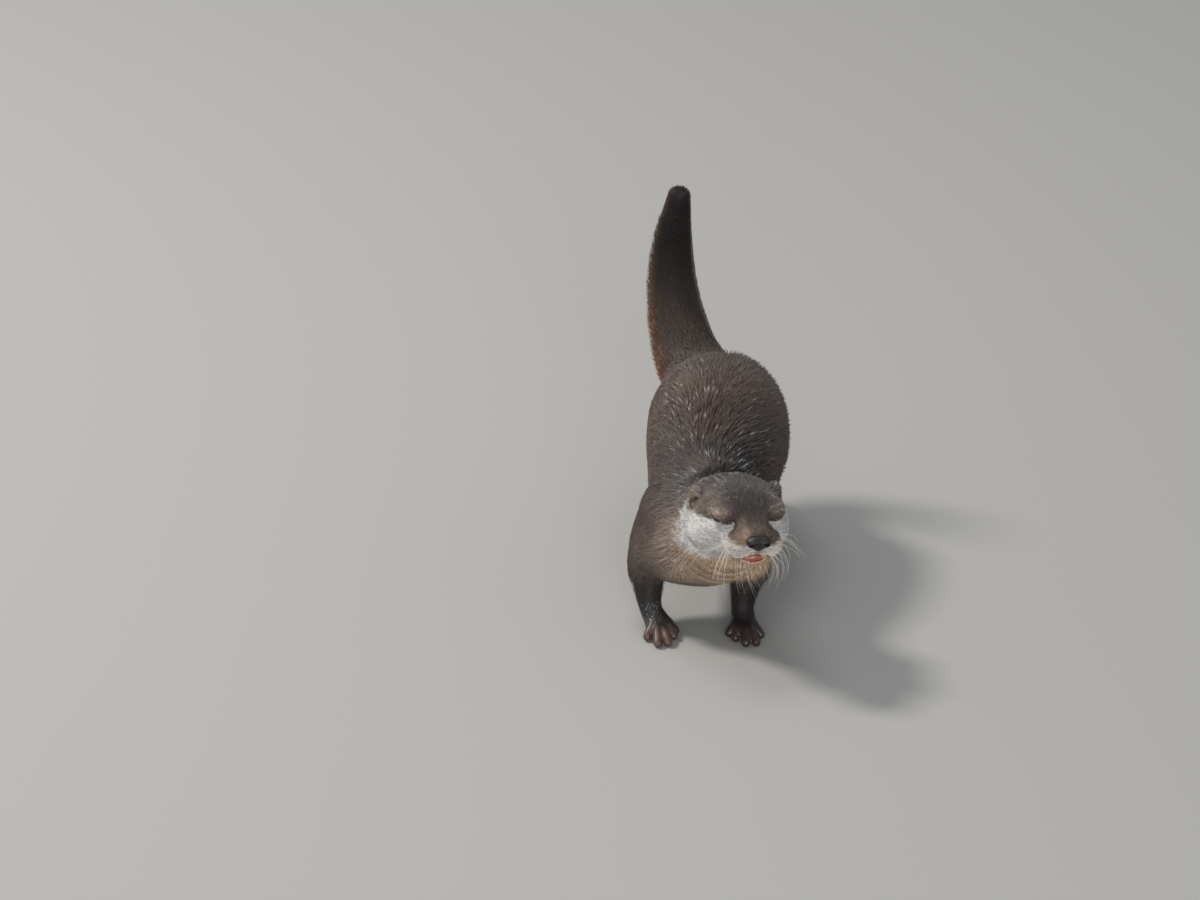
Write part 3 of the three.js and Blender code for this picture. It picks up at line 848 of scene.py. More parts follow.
def head_marking(p, colour):
    """Grey crown, tan temples and brows, brown muzzle with painted shade on its left side, buff jaw and white
    cheeks.
    """
    h = to_head(p)
    x, y, z = h.T
    u = np.abs(x)
    top = mixed(CROWN_GREY, FOREHEAD_BROWN, ramp(-y, 6, 22) * 0.9)
    temple = ramp(u, 13, 26) * ramp(z, -2, 5) * (0.7 + 0.3 * BROAD(p / 5))
    top = mixed(top, TEMPLE_TAN, temple * (1 - 0.7 * ramp(y, -14, 4)))
    sides = ramp(u, 4, 11)
    top = mixed(top, MASK_BROWN, ramp(-y, 36, 49) * (0.1 + 0.9 * sides))
    top = mixed(top, MUZZLE_BROWN, ramp(-y, 48, 59) * (0.18 + 0.82 * sides))
    # Painted shade: the left side of the muzzle, turned away from the light, is darkened.
    top = top * (1 - 0.58 * ramp(x, 4, 12) * ramp(-y, 38, 50))[:, None]
    ahead = 1 - ramp(y, 8, 34)
    colour = mixed(colour, top, ahead * ramp(z, -22, 4))
    colour = mixed(colour, THROAT_BUFF, ahead * ramp(-z, 17, 24))
    white = mixed(CHEEK_WHITE, LIP_CREAM, ramp(-y, 40, 56))
    colour = mixed(colour, white, whiteness(h))
    brow = bell(u, 24, 7) * bell(z, 12.5, 3.3) * ramp(-y, 16, 24)
    colour = mixed(colour, BROW_TAN, brow * 0.95 * ramp(FINE(h / [1.2, 4, 1.2]), -0.8, 0.2))
    under_nose = bell(u, 0, 6) * bell(z, -13, 1.6) * (y < -58)
    colour = mixed(colour, RUST, under_nose * 0.7)
    rim = (1 - ramp(from_ear(h), 0.85, 1.15)) * ramp(u, 31.5, 35)
    return mixed(colour, EAR_RIM, rim * np.where(x > 0, 0.15, 0.9))


def tail_marking(p, n, colour):
    """Brown, darker towards the tip, partly the fur's own colour and partly painted shade; the right-hand
    side, facing the light, has a painted warm lit edge.
    """
    along = ramp(p[:, 2], 135, 255)
    # Painted light: the right-hand side of the tail, facing the light, gets a warm lit edge.
    edge = ramp(-n[:, 0], 0.55, 1.0) * (1 - 0.6 * ramp(n[:, 1], -0.1, 0.5))
    tail = mixed(mixed(TAIL_BROWN, TAIL_TIP_BROWN_AND_SHADE, along), TAIL_PAINTED_LIGHT, edge * (1 - 0.7 * along))
    return mixed(colour, tail, on_tail(p))


def leg_marking(p, colour):
    """Dark legs and reddish toes, with the left legs and their toes darkened as painted shade; the chest's
    buff runs down over the front of the left elbow.
    """
    x, y, z = p.T
    over_elbow = ramp(z - 44 - 0.26 * (x - 20), -3, 4) * (1 - ramp(z, 72, 92))
    elbow = over_elbow * ramp(x, 0, 14) * (1 - ramp(x, 54, 62)) * (1 - ramp(y, 12, 34))
    colour = mixed(colour, THROAT_BUFF, elbow * 0.85)
    limbs = (1 - ramp(z, 34, 70)) * (1 - elbow)
    colour = mixed(colour, LEG_BROWN, limbs * (1 - on_breast(p) * ramp(z, 52, 64)))
    # Painted shade: the left legs stand in the body's shadow, so they and their toes are darkened.
    painted_leg_shade = ramp(x, 8, 20) * limbs
    ahead = np.where(y < 100, FORE_Y - 6, HIND_Y - 20) - y
    colour = mixed(colour, TOE_BROWN, (1 - ramp(z, 10, 15)) * ramp(ahead, 4, 14))
    return colour * (1 - 0.4 * painted_leg_shade - 0.25 * painted_leg_shade * (z < 15))[:, None]


def marking(p, n):
    """The animal's colour at each point, with the painted light and shade that the parts add."""
    colour = head_marking(p, body_marking(p, n))
    return leg_marking(p, tail_marking(p, n, colour))


def ear_cup(h):
    """Below 1 inside the bare hollow of an ear."""
    return np.linalg.norm((one_sided(h) - EAR_CUP_AT) / [5, 7.7, 6.2], axis=1)


def bare_marking(p, n):
    """The skin's colour from the marking, painted light and shade included, with the bare dark lids, the dark
    ears and the pale lips.
    """
    h = to_head(p)
    x, y, z = h.T
    colour = mixed(marking(p, n), EAR_DARK, 1 - ramp(ear_cup(h), 1.0, 1.2))
    colour = colour * (1 - 0.28 * ramp(p[:, 2], 10, 20))[:, None]
    u = np.abs(x)
    from_slit = np.hypot(np.maximum(np.abs(u - EYE_SLIT_AT) - EYE_SLIT_HALF + 1, 0), z - slit_middle(u))
    colour = mixed(colour, LID_BLACK, (1 - ramp(from_slit, 1.2, 2.2)) * (y < -26))
    across = x - MOUTH_SHIFT
    under = z - lip_low(across)
    lip = ramp(mouth_height(across) - z, -0.9, 0) * ramp(under, -2.4, -1.0)
    lip = lip * (1 - ramp(np.abs(across), 9.5, 12)) * (y < -46)
    colour = mixed(colour, LIP_PINK, lip)
    return mixed(colour, GUM_PINK, lip * ramp(under, -1.2, -0.5) * (1 - ramp(np.abs(across), 6.5, 9)))


# ---------------------------------------------------------------- tufts
PATCH = 0.003  # width of one tuft's patch of the unwrap
RIDGE_AT = 0.42  # where the ridge stands, from a tuft's root to its tip
ROOT_DEPTH = 0.35  # how far under the skin a tuft starts
GUARD_SHARE = 0.35  # of the tufts that are guard hair
STREAK_SPREAD = 0.22  # how much the streaks' random value varies


class Ground:
    """The skin as the coat's ground: its triangles with their places, normals and unwrap."""

    def __init__(self, mesh, unwrap):
        mesh.calc_loop_triangles()
        corners, loops = (column(mesh.loop_triangles, name, 3, np.int32) for name in ("vertices", "loops"))
        self.p, self.n = to_forms(points_of(mesh))[corners], normals_of(mesh)[corners]
        self.uv = column(unwrap.uv, "vector", 2)[loops]
        self.middle, self.way = self.p.mean(1), unit(self.n.mean(1))
        edge = self.p[:, 1:] - self.p[:, :1]
        self.area = np.linalg.norm(np.cross(edge[:, 0], edge[:, 1]), axis=1) / 2

    def roots(self, chosen, density, count, rng):
        """Places, normals and unwrap places spread over the chosen triangles."""
        faces = np.flatnonzero(chosen)
        total = np.cumsum(self.area[faces] * density[faces])
        at = (np.arange(count) + rng.random(count)) / count * total[-1]
        face = faces[np.minimum(np.searchsorted(total, at), len(faces) - 1)]
        a, b = np.sqrt(rng.random(count)), rng.random(count)
        share = np.column_stack([1 - a, a * (1 - b), a * b])[:, :, None]
        return [(v[face] * share).sum(1) for v in (self.p, self.n, self.uv)]


DAMP_PATCHES = [(0, 112, 24, 24), (24, 48, 32, 46)]


def dampness(p, n):
    """How far the hair is drawn into wet locks, from 0 to 1: most on top of the back and head."""
    x, y, z = p.T
    h = to_head(p)
    patch = 0.35 * ramp(BROAD(p / 26), -0.35, 0.25)
    for at_x, at_y, wide, deep in DAMP_PATCHES:
        patch = patch + bell(x, at_x, wide) * bell(y, at_y, deep)
    value = 0.25 + 0.75 * ramp(n[:, 2], 0.0, 0.6) * (0.2 + 0.8 * np.minimum(patch, 1))
    chest = bell(x, -26, 13) * bell(z, 82, 26) * ramp(-n[:, 1], 0, 0.5) * (y < 40)
    value = np.maximum(value, 0.95 * chest)
    shoulders = (1 - ramp(y, 25, 65)) * ramp(h[:, 1], 4, 30)
    pale = np.maximum(whiteness(h), ramp(-h[:, 2], 14, 24) * (1 - ramp(y, 10, 50)))
    value = value * (1 - 0.2 * shoulders) * (1 - 0.4 * pale) * (1 - 0.2 * on_tail(p))
    return np.maximum(value, 0.75 * (1 - ramp(h[:, 1], 8, 30)) * (1 - pale))


def streaks(p, way, across, along):
    """A value near -1 to 1 that changes quickly across the lie of the coat and slowly along it."""
    steps = np.linspace(-0.5, 0.5, 9)
    total = sum(FINE((p + way * (along * step)[:, None]) / across[:, None]) for step in steps)
    return np.clip(total / len(steps) / STREAK_SPREAD, -1.3, 1.3)


def grow(name, p, n, uv, rng, length, width, height, pale):
    """One coat piece: spindle tufts with a root, a ridge of three points and a tip.

    The damp hair draws together into long narrow locks along the lie: a lock is raised and lighter, the
    parting beside it lower and darker, partly the fur's own streaks and partly painted highlight and painted
    shade. One tuft in three is longer guard hair.
    """
    count = len(p)
    x, y, z = p.T
    h = to_head(p)
    hx, hy, hz = h.T
    n = unit(n)
    way = lie(p, n)
    side = np.cross(n, way)
    stray = 0.16 * MIDDLING(p / 17 + 9) + 0.10 * OTHER(p / 6) + rng.normal(0, 0.06, count)
    way = along_surface(way + side * stray[:, None], n)
    side = np.cross(n, way)
    guard = rng.random(count) < GUARD_SHARE
    damp = dampness(p, n)
    reach = length * np.where(guard, rng.uniform(0.95, 1.35, count), rng.uniform(0.6, 1.0, count))
    white = whiteness(h)
    across = np.clip(0.5 + 0.075 * length, 0.7, 1.3) * (1 + 0.35 * white)
    along = (2.5 + 0.8 * length) * (1 + 1.1 * white)

    def lock_at(share, aside=0):
        """From -1 in a parting to 1 in a lock, a share of the tuft's length along."""
        place = p + way * (reach * share)[:, None] + side * (across * aside)[:, None]
        return streaks(place, way, across, along)

    lock = [lock_at(share) for share in (0, RIDGE_AT, 1)]
    slope = np.clip(lock_at(0.8, 0.45) - lock_at(0.8, -0.45), -1, 1)
    drawn = side * (slope * across * 0.6 * damp)[:, None]
    # Glints: a few guard tufts get pale blue-grey ridges and tips, a painted highlight of the light on wet
    # hair; pale sets their share.
    bunch = ramp(OTHER(p / 12 + 5), -0.2, 0.45) * ramp(lock[1], 0, 0.8) * ramp(hy, -40, -24)
    glint = guard & (rng.random(count) < 3.5 * pale * bunch * ramp(damp, 0.4, 0.9))
    # Painted sheen: the front of the right wrist, facing the light, is given a few glints.
    painted_wrist_sheen = bell(x, -45, 6) * bell(z, 20, 9) * ramp(-n[:, 1], -0.1, 0.4) * (y < 60)
    glint = glint | (rng.random(count) < 0.14 * painted_wrist_sheen)
    temple = ramp(np.abs(hx), 11, 24) * ramp(hy, -42, -30) * (1 - ramp(hy, 2, 16)) * ramp(hz, 3, 9)
    grizzled = 0.7 * (rng.random(count) < 0.3 * temple) * (1 - white)
    throat = (1 - ramp(y, -4, 24)) * ramp(-hz, 18, 26)
    uneven = (0.1 - 0.06 * np.maximum(white, throat)) * rng.uniform(-1, 1, count)
    rise = height * (0.62 + 0.15 * guard + 0.12 * glint + 0.28 * damp * lock[2] + uneven)
    rough = ramp(y, 40, 90) * ramp(n[:, 0], 0.05, 0.5) * (z > 105) * (y < 208)
    rough = np.maximum(rough, ramp(-n[:, 0], 0.6, 0.95) * ramp(y, 235, 250) * (z < 265))
    ruffled = rng.random(count) < 0.34 * rough
    rise = rise + np.where(ruffled, rng.uniform(0.3, 0.7, count), 0) * np.minimum(height, 2.6)
    stands = np.where(ruffled, rng.uniform(0.8, 3.2, count), 0) * np.where(y > 225, 0.5, 1)

    ridge = p + way * (reach * RIDGE_AT)[:, None] + n * (rise * 0.8)[:, None] + drawn * 0.5
    tip = p + way * reach[:, None] + n * (rise + stands - reach**2 / 200)[:, None] + drawn
    root = p - n * ROOT_DEPTH
    axis = unit(tip - root)
    side = unit(np.cross(n, axis))
    wide = width * rng.uniform(0.75, 1.25, count) * np.where(guard, 0.85, 1.1)
    wide = (np.where(glint, 0.43, wide) + 0.35 * ruffled)[:, None]
    half, lift = side * wide / 2, np.cross(axis, side) * wide * 0.42
    points = np.stack([root, ridge + half, ridge + lift, ridge - half, tip], axis=1)
    pattern = np.array([[2, 1, 0], [3, 2, 0], [1, 3, 0], [1, 2, 4], [2, 3, 4], [3, 1, 4]])
    faces = (np.arange(count)[:, None, None] * 5 + pattern).reshape(-1, 3)
    piece = add_mesh(name, to_frame(points.reshape(-1, 3)), faces)
    mesh = piece.data

    # The right wrist's painted sheen mixes the base colour towards a wet blue-grey.
    base = mixed(marking(p + way * (reach * 0.3)[:, None], n), WET_SHEEN, 0.75 * painted_wrist_sheen)
    # Locks are painted lighter and partings darker: partly the fur's own streaks, partly painted highlight
    # and painted shade.
    contrast = np.clip(0.46 - 0.5 * base.mean(1), 0.26, 0.46) * (0.35 + 0.65 * damp) * (1 + 1.9 * white)
    even = (1 + rng.normal(0, 0.08, count)) * (1 + 0.14 * MIDDLING(p / 11 + 4)) * (1 + grizzled)
    start, middle, end = (base * np.clip(even * (1 + contrast * value), 0.4, 2.2)[:, None] for value in lock)
    # The painted glints are dimmer on the head.
    gleam = GLINT * (1 - 0.6 * (1 - ramp(hy, 10, 24)))[:, None]
    middle = np.where(glint[:, None], middle * 1.4 + gleam, middle)
    # Other tips are lighter, partly the fur's grizzled tips and partly painted sheen. Below, each root is
    # darkened as painted shade from the tufts over it, and the ridge's sides are a little darker than its
    # top, painted shade across the tuft; buff fur gets less of both.
    end = np.where(glint[:, None], end * 1.4 + gleam, end * 1.2)
    buff = (ramp(base.mean(1), 0.15, 0.35) * (1 - white))[:, None]
    sides = middle * (0.9 + 0.08 * buff)
    shade = np.stack([start * (0.7 + 0.25 * buff), sides, middle, sides, end], axis=1)
    write_colours(mesh, "coat_colour", shade.reshape(-1, 3))
    strand = np.zeros((count, 5, 3))
    strand[:, :, 0] = [0.5, 0, 0.5, 1, 0.5]
    strand[:, :, 1] = [0, RIDGE_AT, RIDGE_AT, RIDGE_AT, 1]
    strand[:, :, 2] = rng.random(count)[:, None]
    layer = mesh.attributes.new("strand", "FLOAT_VECTOR", "POINT")
    layer.data.foreach_set("vector", strand.astype(np.float32).ravel())

    spot = np.array([[0, -0.5], [0.5, 0], [0, 0.15], [-0.5, 0], [0, 0.5]]) * PATCH
    where = (uv[:, None, :] + spot)[:, pattern].reshape(-1, 2)
    unwrap = mesh.uv_layers.new(name="OFBake")
    unwrap.uv.foreach_set("vector", where.astype(np.float32).ravel())
    mesh.materials.append(materials["coat"])
    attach(piece, "root")
    return piece


def write_colours(mesh, name, colours):
    layer = mesh.attributes.new(name, "FLOAT_COLOR", "POINT")
    full = np.column_stack([np.clip(colours, 0, 1), np.ones(len(colours))])
    layer.data.foreach_set("color", full.astype(np.float32).ravel())


def unwrapped(skin):
    """A flat unwrap of the skin's own shape."""
    bpy.context.view_layer.objects.active = skin
    skin.select_set(True)
    bpy.ops.object.mode_set(mode="EDIT")
    bpy.ops.mesh.select_all(action="SELECT")
    bpy.ops.uv.smart_project(angle_limit=math.radians(66), island_margin=0.002)
    bpy.ops.object.mode_set(mode="OBJECT")
    return skin.data.uv_layers.active


def bare(p, n):
    """True where nothing grows: the nose, the lips, the open lids and the soles."""
    h = to_head(p)
    x, y, z = h.T
    u = np.abs(x)
    nose = np.linalg.norm((h - [-1, -62, -5]) / [9.6, 6, 5.6], axis=1) < 1
    slit = (np.abs(z - slit_middle(u)) < 1.2) & (np.abs(u - EYE_SLIT_AT) < EYE_SLIT_HALF + 0.2) & (y < -26)
    across = x - MOUTH_SHIFT
    lips = (z < mouth_height(across) + 0.3) & (z > lip_low(across) - 1.0) & (u < 16) & (y < -40)
    soles = (p[:, 2] < 13) & ((n[:, 2] < 0.1) | (p[:, 2] < 7))
    return nose | slit | lips | soles | (ear_cup(h) < 1)


def hair_width(length):
    return np.clip(0.066 * length, 0.2, 0.6)


def grow_coat(skin):
    ground = Ground(skin.data, unwrapped(skin))
    p, n = ground.middle, ground.way
    x, y, z = p.T
    h = to_head(p)
    length = hair_length(p)
    density = np.where(bare(p, n), 0, 1 / (length * hair_width(length)))
    density = density * np.where(h[:, 1] < -20, 0.75, 1)

    face = (h[:, 1] < -20) & (h[:, 2] > -45)
    head = ~face & (h[:, 1] < 22) & (h[:, 2] > -36)
    tail = (y > 236) & (z > 96)
    feet = ~face & ~head & (z < 46)
    neck = ~(face | head | tail | feet) & (y < 42)
    trunk = ~(face | head | tail | feet | neck)
    left, upper, rump = x > 9, n[:, 2] > 0, y > 165
    # Each region: its coat piece's name, where it grows, how many tufts and its share of painted glints.
    regions = [
        ("coat_face_left", face & (h[:, 0] > 0), 23000, 0.10),
        ("coat_face_right", face & (h[:, 0] <= 0), 23000, 0.10),
        ("coat_head", head, 32000, 0.16),
        ("coat_neck_left", neck & left, 22000, 0.10),
        ("coat_neck_right", neck & ~left, 24000, 0.12),
        ("coat_back_left", trunk & left & upper & ~rump, 26000, 0.08),
        ("coat_back_right", trunk & ~left & upper & ~rump, 26000, 0.08),
        ("coat_rump", trunk & upper & rump, 21000, 0.06),
        ("coat_belly", trunk & ~upper, 20000, 0.0),
        ("coat_tail", tail, 20000, 0.01),
        ("coat_legs", feet, 13000, 0.0),
    ]
    share = 1
    for i, (name, chosen, tufts, pale) in enumerate(regions):
        rng = np.random.default_rng(100 + i)
        root, normal, uv = ground.roots(chosen, density, int(tufts * share), rng)
        long = hair_length(root)
        grow(name, root, normal, uv, rng, long, hair_width(long), coat_depth(root), pale)


# ---------------------------------------------------------------- nose, eyes and tongue
def head_piece(name, form, low, high, cell, slot):
    """A smooth closed piece from a form in the head's own frame."""
    points, faces = netted(form, low, high, cell)
    piece = add_mesh(name, to_frame(from_head(points)), faces)
    settled(piece.data, on_head(form), 2, cell)
    piece.data.materials.append(materials[slot])
    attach(piece, "root")
    return piece


NOSE = hollow(
    0.9,
    blend(
        2.4,
        oval([-0.6, -62, -3.6], [9.4, 5.6, 4.4]),
        pair([5.4, -62.6, -5], [4.8, 5.8, 4.4]),
        oval([-0.4, -62.4, -8.2], [4.6, 4.8, 3.8]),
    ),
    blend(0.6, pair([5.6, -68.6, -5.6], [2.6, 3.2, 1.35]), pair([8.4, -66.6, -6.4], [2.6, 3, 0.8])),
)
NOSE_GROOVE = oval([-0.4, -69.2, -8], [0.35, 3, 5])
NOSE_PAD = hollow(0.8, NOSE, NOSE_GROOVE)
TONGUE = blend(
    2,
    oval([MOUTH_SHIFT - 0.3, -51.5, -18.9], [10.6, 9.3, 3.0]),
    oval([MOUTH_SHIFT + 0.8, -53, -17.6], [5, 8, 2.4]),
)


def eyeball(side):
    """One eyeball with the bulge of its cornea."""
    at = EYE_AT * [side, 1, 1]
    look = unit(np.array([side * 0.45, -1, 0.02]))
    ball = oval(at, [EYE_RADIUS] * 3)
    cornea = oval(at + look * 1.1, [EYE_RADIUS - 0.75] * 3)
    name = "eyeball_left" if side > 0 else "eyeball_right"
    piece = head_piece(name, blend(0.8, ball, cornea), at - 8, at + 8, 0.55, "eye")
    h = to_head(to_forms(points_of(piece.data)))
    turned = (unit(h - at) * look).sum(1)
    rim = 1 - ramp(turned, 0.76, 0.80)
    pupil = ramp(turned, 0.93, 0.95)
    colour = mixed(mixed(IRIS_BROWN, EYE_RIM_BROWN, rim), PUPIL_BLACK, pupil)
    write_colours(piece.data, "eye_colour", colour)
    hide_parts("eye_left" if side > 0 else "eye_right")
    return piece


def make_face():
    nose = head_piece("nose_pad", NOSE_PAD, [-13, -71, -14], [13, -54, 4], 0.6, "nose")
    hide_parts("nose")
    tongue = head_piece("tongue_tip", TONGUE, [-16, -66, -24], [11, -40, -12], 0.8, "tongue")
    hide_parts("tongue")
    for side in (1, -1):
        eyeball(side)


# ---------------------------------------------------------------- whiskers and claws
def node(tree, kind, inputs=(), **settings):
    """A node with its settings, and for each input a value or another node's output."""
    made = tree.nodes.new(kind)
    for name, setting in settings.items():
        setattr(made, name, setting)
    for name, given in dict(inputs).items():
        if isinstance(given, bpy.types.NodeSocket):
            tree.links.new(given, made.inputs[name])
        else:
            made.inputs[name].default_value = given
    return made


def strands_tree():
    """Turns lines of points into round tapered strands."""
    tree = bpy.data.node_groups.new("tapered strands", "GeometryNodeTree")
    for name, kind in (("Lines", "Geometry"), ("Radius", "Float"), ("Sides", "Int"), ("Finish", "Material")):
        tree.interface.new_socket(name, in_out="INPUT", socket_type="NodeSocket" + kind)
    tree.interface.new_socket("Strands", in_out="OUTPUT", socket_type="NodeSocketGeometry")
    given = tree.nodes.new("NodeGroupInput").outputs
    curve = node(tree, "GeometryNodeMeshToCurve", {"Mesh": given["Lines"]}).outputs["Curve"]
    taper = node(tree, "GeometryNodeInputNamedAttribute", {"Name": "taper"}, data_type="FLOAT")
    sizes = {0: taper.outputs["Attribute"], 1: given["Radius"]}
    scale = node(tree, "ShaderNodeMath", sizes, operation="MULTIPLY").outputs["Value"]
    ring = node(tree, "GeometryNodeCurvePrimitiveCircle", {"Resolution": given["Sides"], "Radius": 1})
    parts = {"Curve": curve, "Profile Curve": ring.outputs["Curve"], "Scale": scale, "Fill Caps": True}
    made = node(tree, "GeometryNodeCurveToMesh", parts).outputs["Mesh"]
    for kind in ("GeometryNodeSetShadeSmooth", "GeometryNodeRealizeInstances"):
        made = node(tree, kind, {"Geometry": made}).outputs["Geometry"]
    finish = node(tree, "GeometryNodeSetMaterial", {"Geometry": made, "Material": given["Finish"]})
    node(tree, "NodeGroupOutput", {"Strands": finish.outputs["Geometry"]})
    return tree


def strands(name, lines, tapers, radius, sides, material):
    """One piece of round strands along lines of points in metres."""
    starts = np.cumsum([0] + [len(line) for line in lines[:-1]])
    edges = [(s + i, s + i + 1) for s, line in zip(starts, lines) for i in range(len(line) - 1)]
    mesh = bpy.data.meshes.new(name)
    mesh.from_pydata(np.vstack(lines).tolist(), edges, [])
    layer = mesh.attributes.new("taper", "FLOAT", "POINT")
    layer.data.foreach_set("value", np.concatenate(tapers).astype(np.float32))
    piece = add_object(name, mesh)
    change = piece.modifiers.new("strands", "NODES")
    change.node_group = STRANDS
    given = {"Radius": radius, "Sides": sides, "Finish": material}
    for socket in STRANDS.interface.items_tree:
        if socket.in_out == "INPUT" and socket.name in given:
            change[socket.identifier] = given[socket.name]
    seen = piece.evaluated_get(bpy.context.evaluated_depsgraph_get())
    made = bpy.data.meshes.new_from_object(seen)
    piece.modifiers.remove(change)
    piece.data = made
    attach(piece, "root")
    return piece


def whisker(tree, start, way, length, droop, sway=0, steps=14):
    """A hair in the head's frame that leaves the skin at start, drooping and swaying to a side."""
    root = np.array(tree.find_nearest(Vector(to_frame(from_head(start))))[0])
    here = to_head(to_forms(root))
    way = unit(np.array(way, float))
    here = here - way * 0.8
    line = [here]
    for i in range(steps):
        way = unit(way + np.array([sway, 0, -droop]) * (length / steps) * (0.4 + 1.2 * i / steps))
        here = here + way * length / steps
        line.append(here)
    return to_frame(from_head(line))


def make_whiskers(tree):
    """Long whiskers on both sides of the muzzle, and shorter hairs on the brows, cheeks and chin."""
    rng = np.random.default_rng(7)
    lines, tapers = [], []

    def add(start, way, length, droop, sway=0, thick=1):
        lines.append(whisker(tree, start, way, length, droop, sway))
        tapers.append(thick * (1 - 0.88 * np.linspace(0, 1, len(lines[-1])) ** 1.3))

    for row in range(3):
        for i in range(6):
            start = np.array([8 + 1.4 * i, -60 + 1.9 * i, -9.5 - 2.6 * row]) + rng.normal(0, 0.5, 3)
            way = [0.8 - 0.12 * row, -0.35, 0.1 - 0.3 * row] + rng.normal(0, 0.15, 3)
            add(start, way, rng.uniform(20, 36), rng.uniform(0.06, 0.1), rng.uniform(-0.07, -0.02))
    for row in range(2):
        for i in range(8):
            start = np.array([-8 - 2.1 * (i + row / 2), -57 + 2 * i, -14.5 - 2 * row]) + rng.normal(0, 0.4, 3)
            way = [0.1 - 0.13 * i, -0.35, -0.75] + rng.normal(0, 0.09, 3)
            add(start, way, rng.uniform(24, 50), 0.03, 0.028 - 0.003 * i + rng.uniform(0, 0.006))
    for i in range(7):
        start = np.array([-12 - 1.7 * i, -55 + 2 * i, -10]) + rng.normal(0, 0.6, 3)
        add(start, [-0.9, -0.5, -0.15] + rng.normal(0, 0.1, 3), rng.uniform(34, 52), -0.012, -0.01)
    for side in (1, -1):
        for i in range(4):
            start = [side * (16 + 3 * i + rng.normal(0, 0.8)), -37 + 0.6 * i, 12 + rng.normal(0, 1.2)]
            way = [side * (0.3 + 0.3 * i), -0.7 + 0.1 * i, 0.85 - 0.1 * i]
            add(start, way, rng.uniform(9, 18), rng.uniform(0.06, 0.1), 0, 0.6)
        for i in range(4):
            start = [side * (30 + 1.5 * i), -20 + 5 * i, -20 + rng.normal(0, 2)]
            add(start, [side * 0.8, -0.35, -0.35], rng.uniform(20, 32), 0.03)
    for i in range(-2, 3):
        start = [MOUTH_SHIFT + 4 * i + rng.normal(0, 1), -58, -24]
        add(start, [0.3 * i + rng.normal(0, 0.2), -0.6, -0.7], rng.uniform(9, 24), 0.05)
    return strands("whiskers", lines, tapers, 0.00014, 5, materials["whisker"])


def make_claws():
    """A small blunt claw on the end of each toe."""
    lines, tapers = [], []
    steps = np.linspace(0, 1, 7)[:, None]
    for paws in (FORETOES, HINDTOES):
        for toe in paws[1] + paws[-1]:
            way = unit(toe.way[-1] * [1, 1, 0])
            start = toe.centre[-1] - way * 0.5 + [0, 0, 1.6]
            lines.append(to_frame(start + way * 4.2 * steps + [0, 0, 1] * (0.5 * steps - 1.7 * steps**2)))
            tapers.append(1 - 0.75 * steps[:, 0] ** 1.6)
    return strands("claws", lines, tapers, 0.00085, 9, materials["claw"])


# ---------------------------------------------------------------- materials
def start_material(name, colour, roughness, finish=()):
    """A material with its colour, its roughness and the other settings of its finish."""
    made = bpy.data.materials.new(name)
    made.use_nodes = True
    shader = made.node_tree.nodes["Principled BSDF"]
    shader.inputs["Base Color"].default_value = (*colour, 1)
    shader.inputs["Roughness"].default_value = roughness
    for setting, amount in dict(finish).items():
        shader.inputs[setting].default_value = amount
    made.diffuse_color = (*colour, 1)
    return made, made.node_tree, shader


def attribute(tree, name):
    return node(tree, "ShaderNodeAttribute", attribute_name=name).outputs


def noise(tree, scale, detail, vector=None, stretch=None):
    """Noise on the piece's own coordinates, or on the vector given."""
    if vector is None:
        vector = tree.nodes.new("ShaderNodeTexCoord").outputs["Object"]
    if stretch is not None:
        vector = node(tree, "ShaderNodeMapping", {"Vector": vector, "Scale": stretch}).outputs["Vector"]
    inputs = {"Vector": vector, "Scale": scale, "Detail": detail}
    return node(tree, "ShaderNodeTexNoise", inputs).outputs["Fac"]


def cells(tree, scale):
    """Distance from the middle of small cells on the piece's own coordinates."""
    vector = tree.nodes.new("ShaderNodeTexCoord").outputs["Object"]
    return node(tree, "ShaderNodeTexVoronoi", {"Vector": vector, "Scale": scale}).outputs["Distance"]


def spread(tree, value, low, high, to_low, to_high):
    """Maps a value between low and high onto another range."""
    ranges = {"Value": value, "From Min": low, "From Max": high, "To Min": to_low, "To Max": to_high}
    return node(tree, "ShaderNodeMapRange", ranges).outputs["Result"]


def shaded(tree, shader, layer, pattern, low, high):
    """Takes the base colour from a colour layer, darker and lighter with a pattern."""
    tone = spread(tree, pattern, 0.3, 0.7, low, high)
    inputs = {0: attribute(tree, layer)["Color"], "Scale": tone}
    colour = node(tree, "ShaderNodeVectorMath", inputs, operation="SCALE").outputs["Vector"]
    tree.links.new(colour, shader.inputs["Base Color"])


def bump(tree, shader, height, strength, distance):
    made = node(tree, "ShaderNodeBump", {"Height": height, "Strength": strength, "Distance": distance})
    tree.links.new(made.outputs["Normal"], shader.inputs["Normal"])


def coat_material():
    """Damp fur: each tuft shows its own hairs and catches the light along them."""
    finish = {"Specular IOR Level": 0.45, "Sheen Weight": 0.12, "Sheen Roughness": 0.4}
    made, tree, shader = start_material("otter fur", paint(90, 78, 70), 0.5, finish)
    hairs = noise(tree, 1, 2, attribute(tree, "strand")["Vector"], (5.5, 1.2, 60))
    shaded(tree, shader, "coat_colour", hairs, 0.72, 1.25)
    tree.links.new(spread(tree, hairs, 0.3, 0.7, 0.58, 0.40), shader.inputs["Roughness"])
    bump(tree, shader, hairs, 0.6, 0.0002)
    return made


def skin_material():
    """Short underfur over the body: dull, streaked and slightly uneven."""
    dull = {"Specular IOR Level": 0.35}
    made, tree, shader = start_material("otter underfur", paint(70, 60, 54), 0.6, dull)
    fine = noise(tree, 1400, 4)
    shaded(tree, shader, "skin_colour", fine, 0.7, 1.2)
    bump(tree, shader, fine, 0.5, 0.0003)
    return made


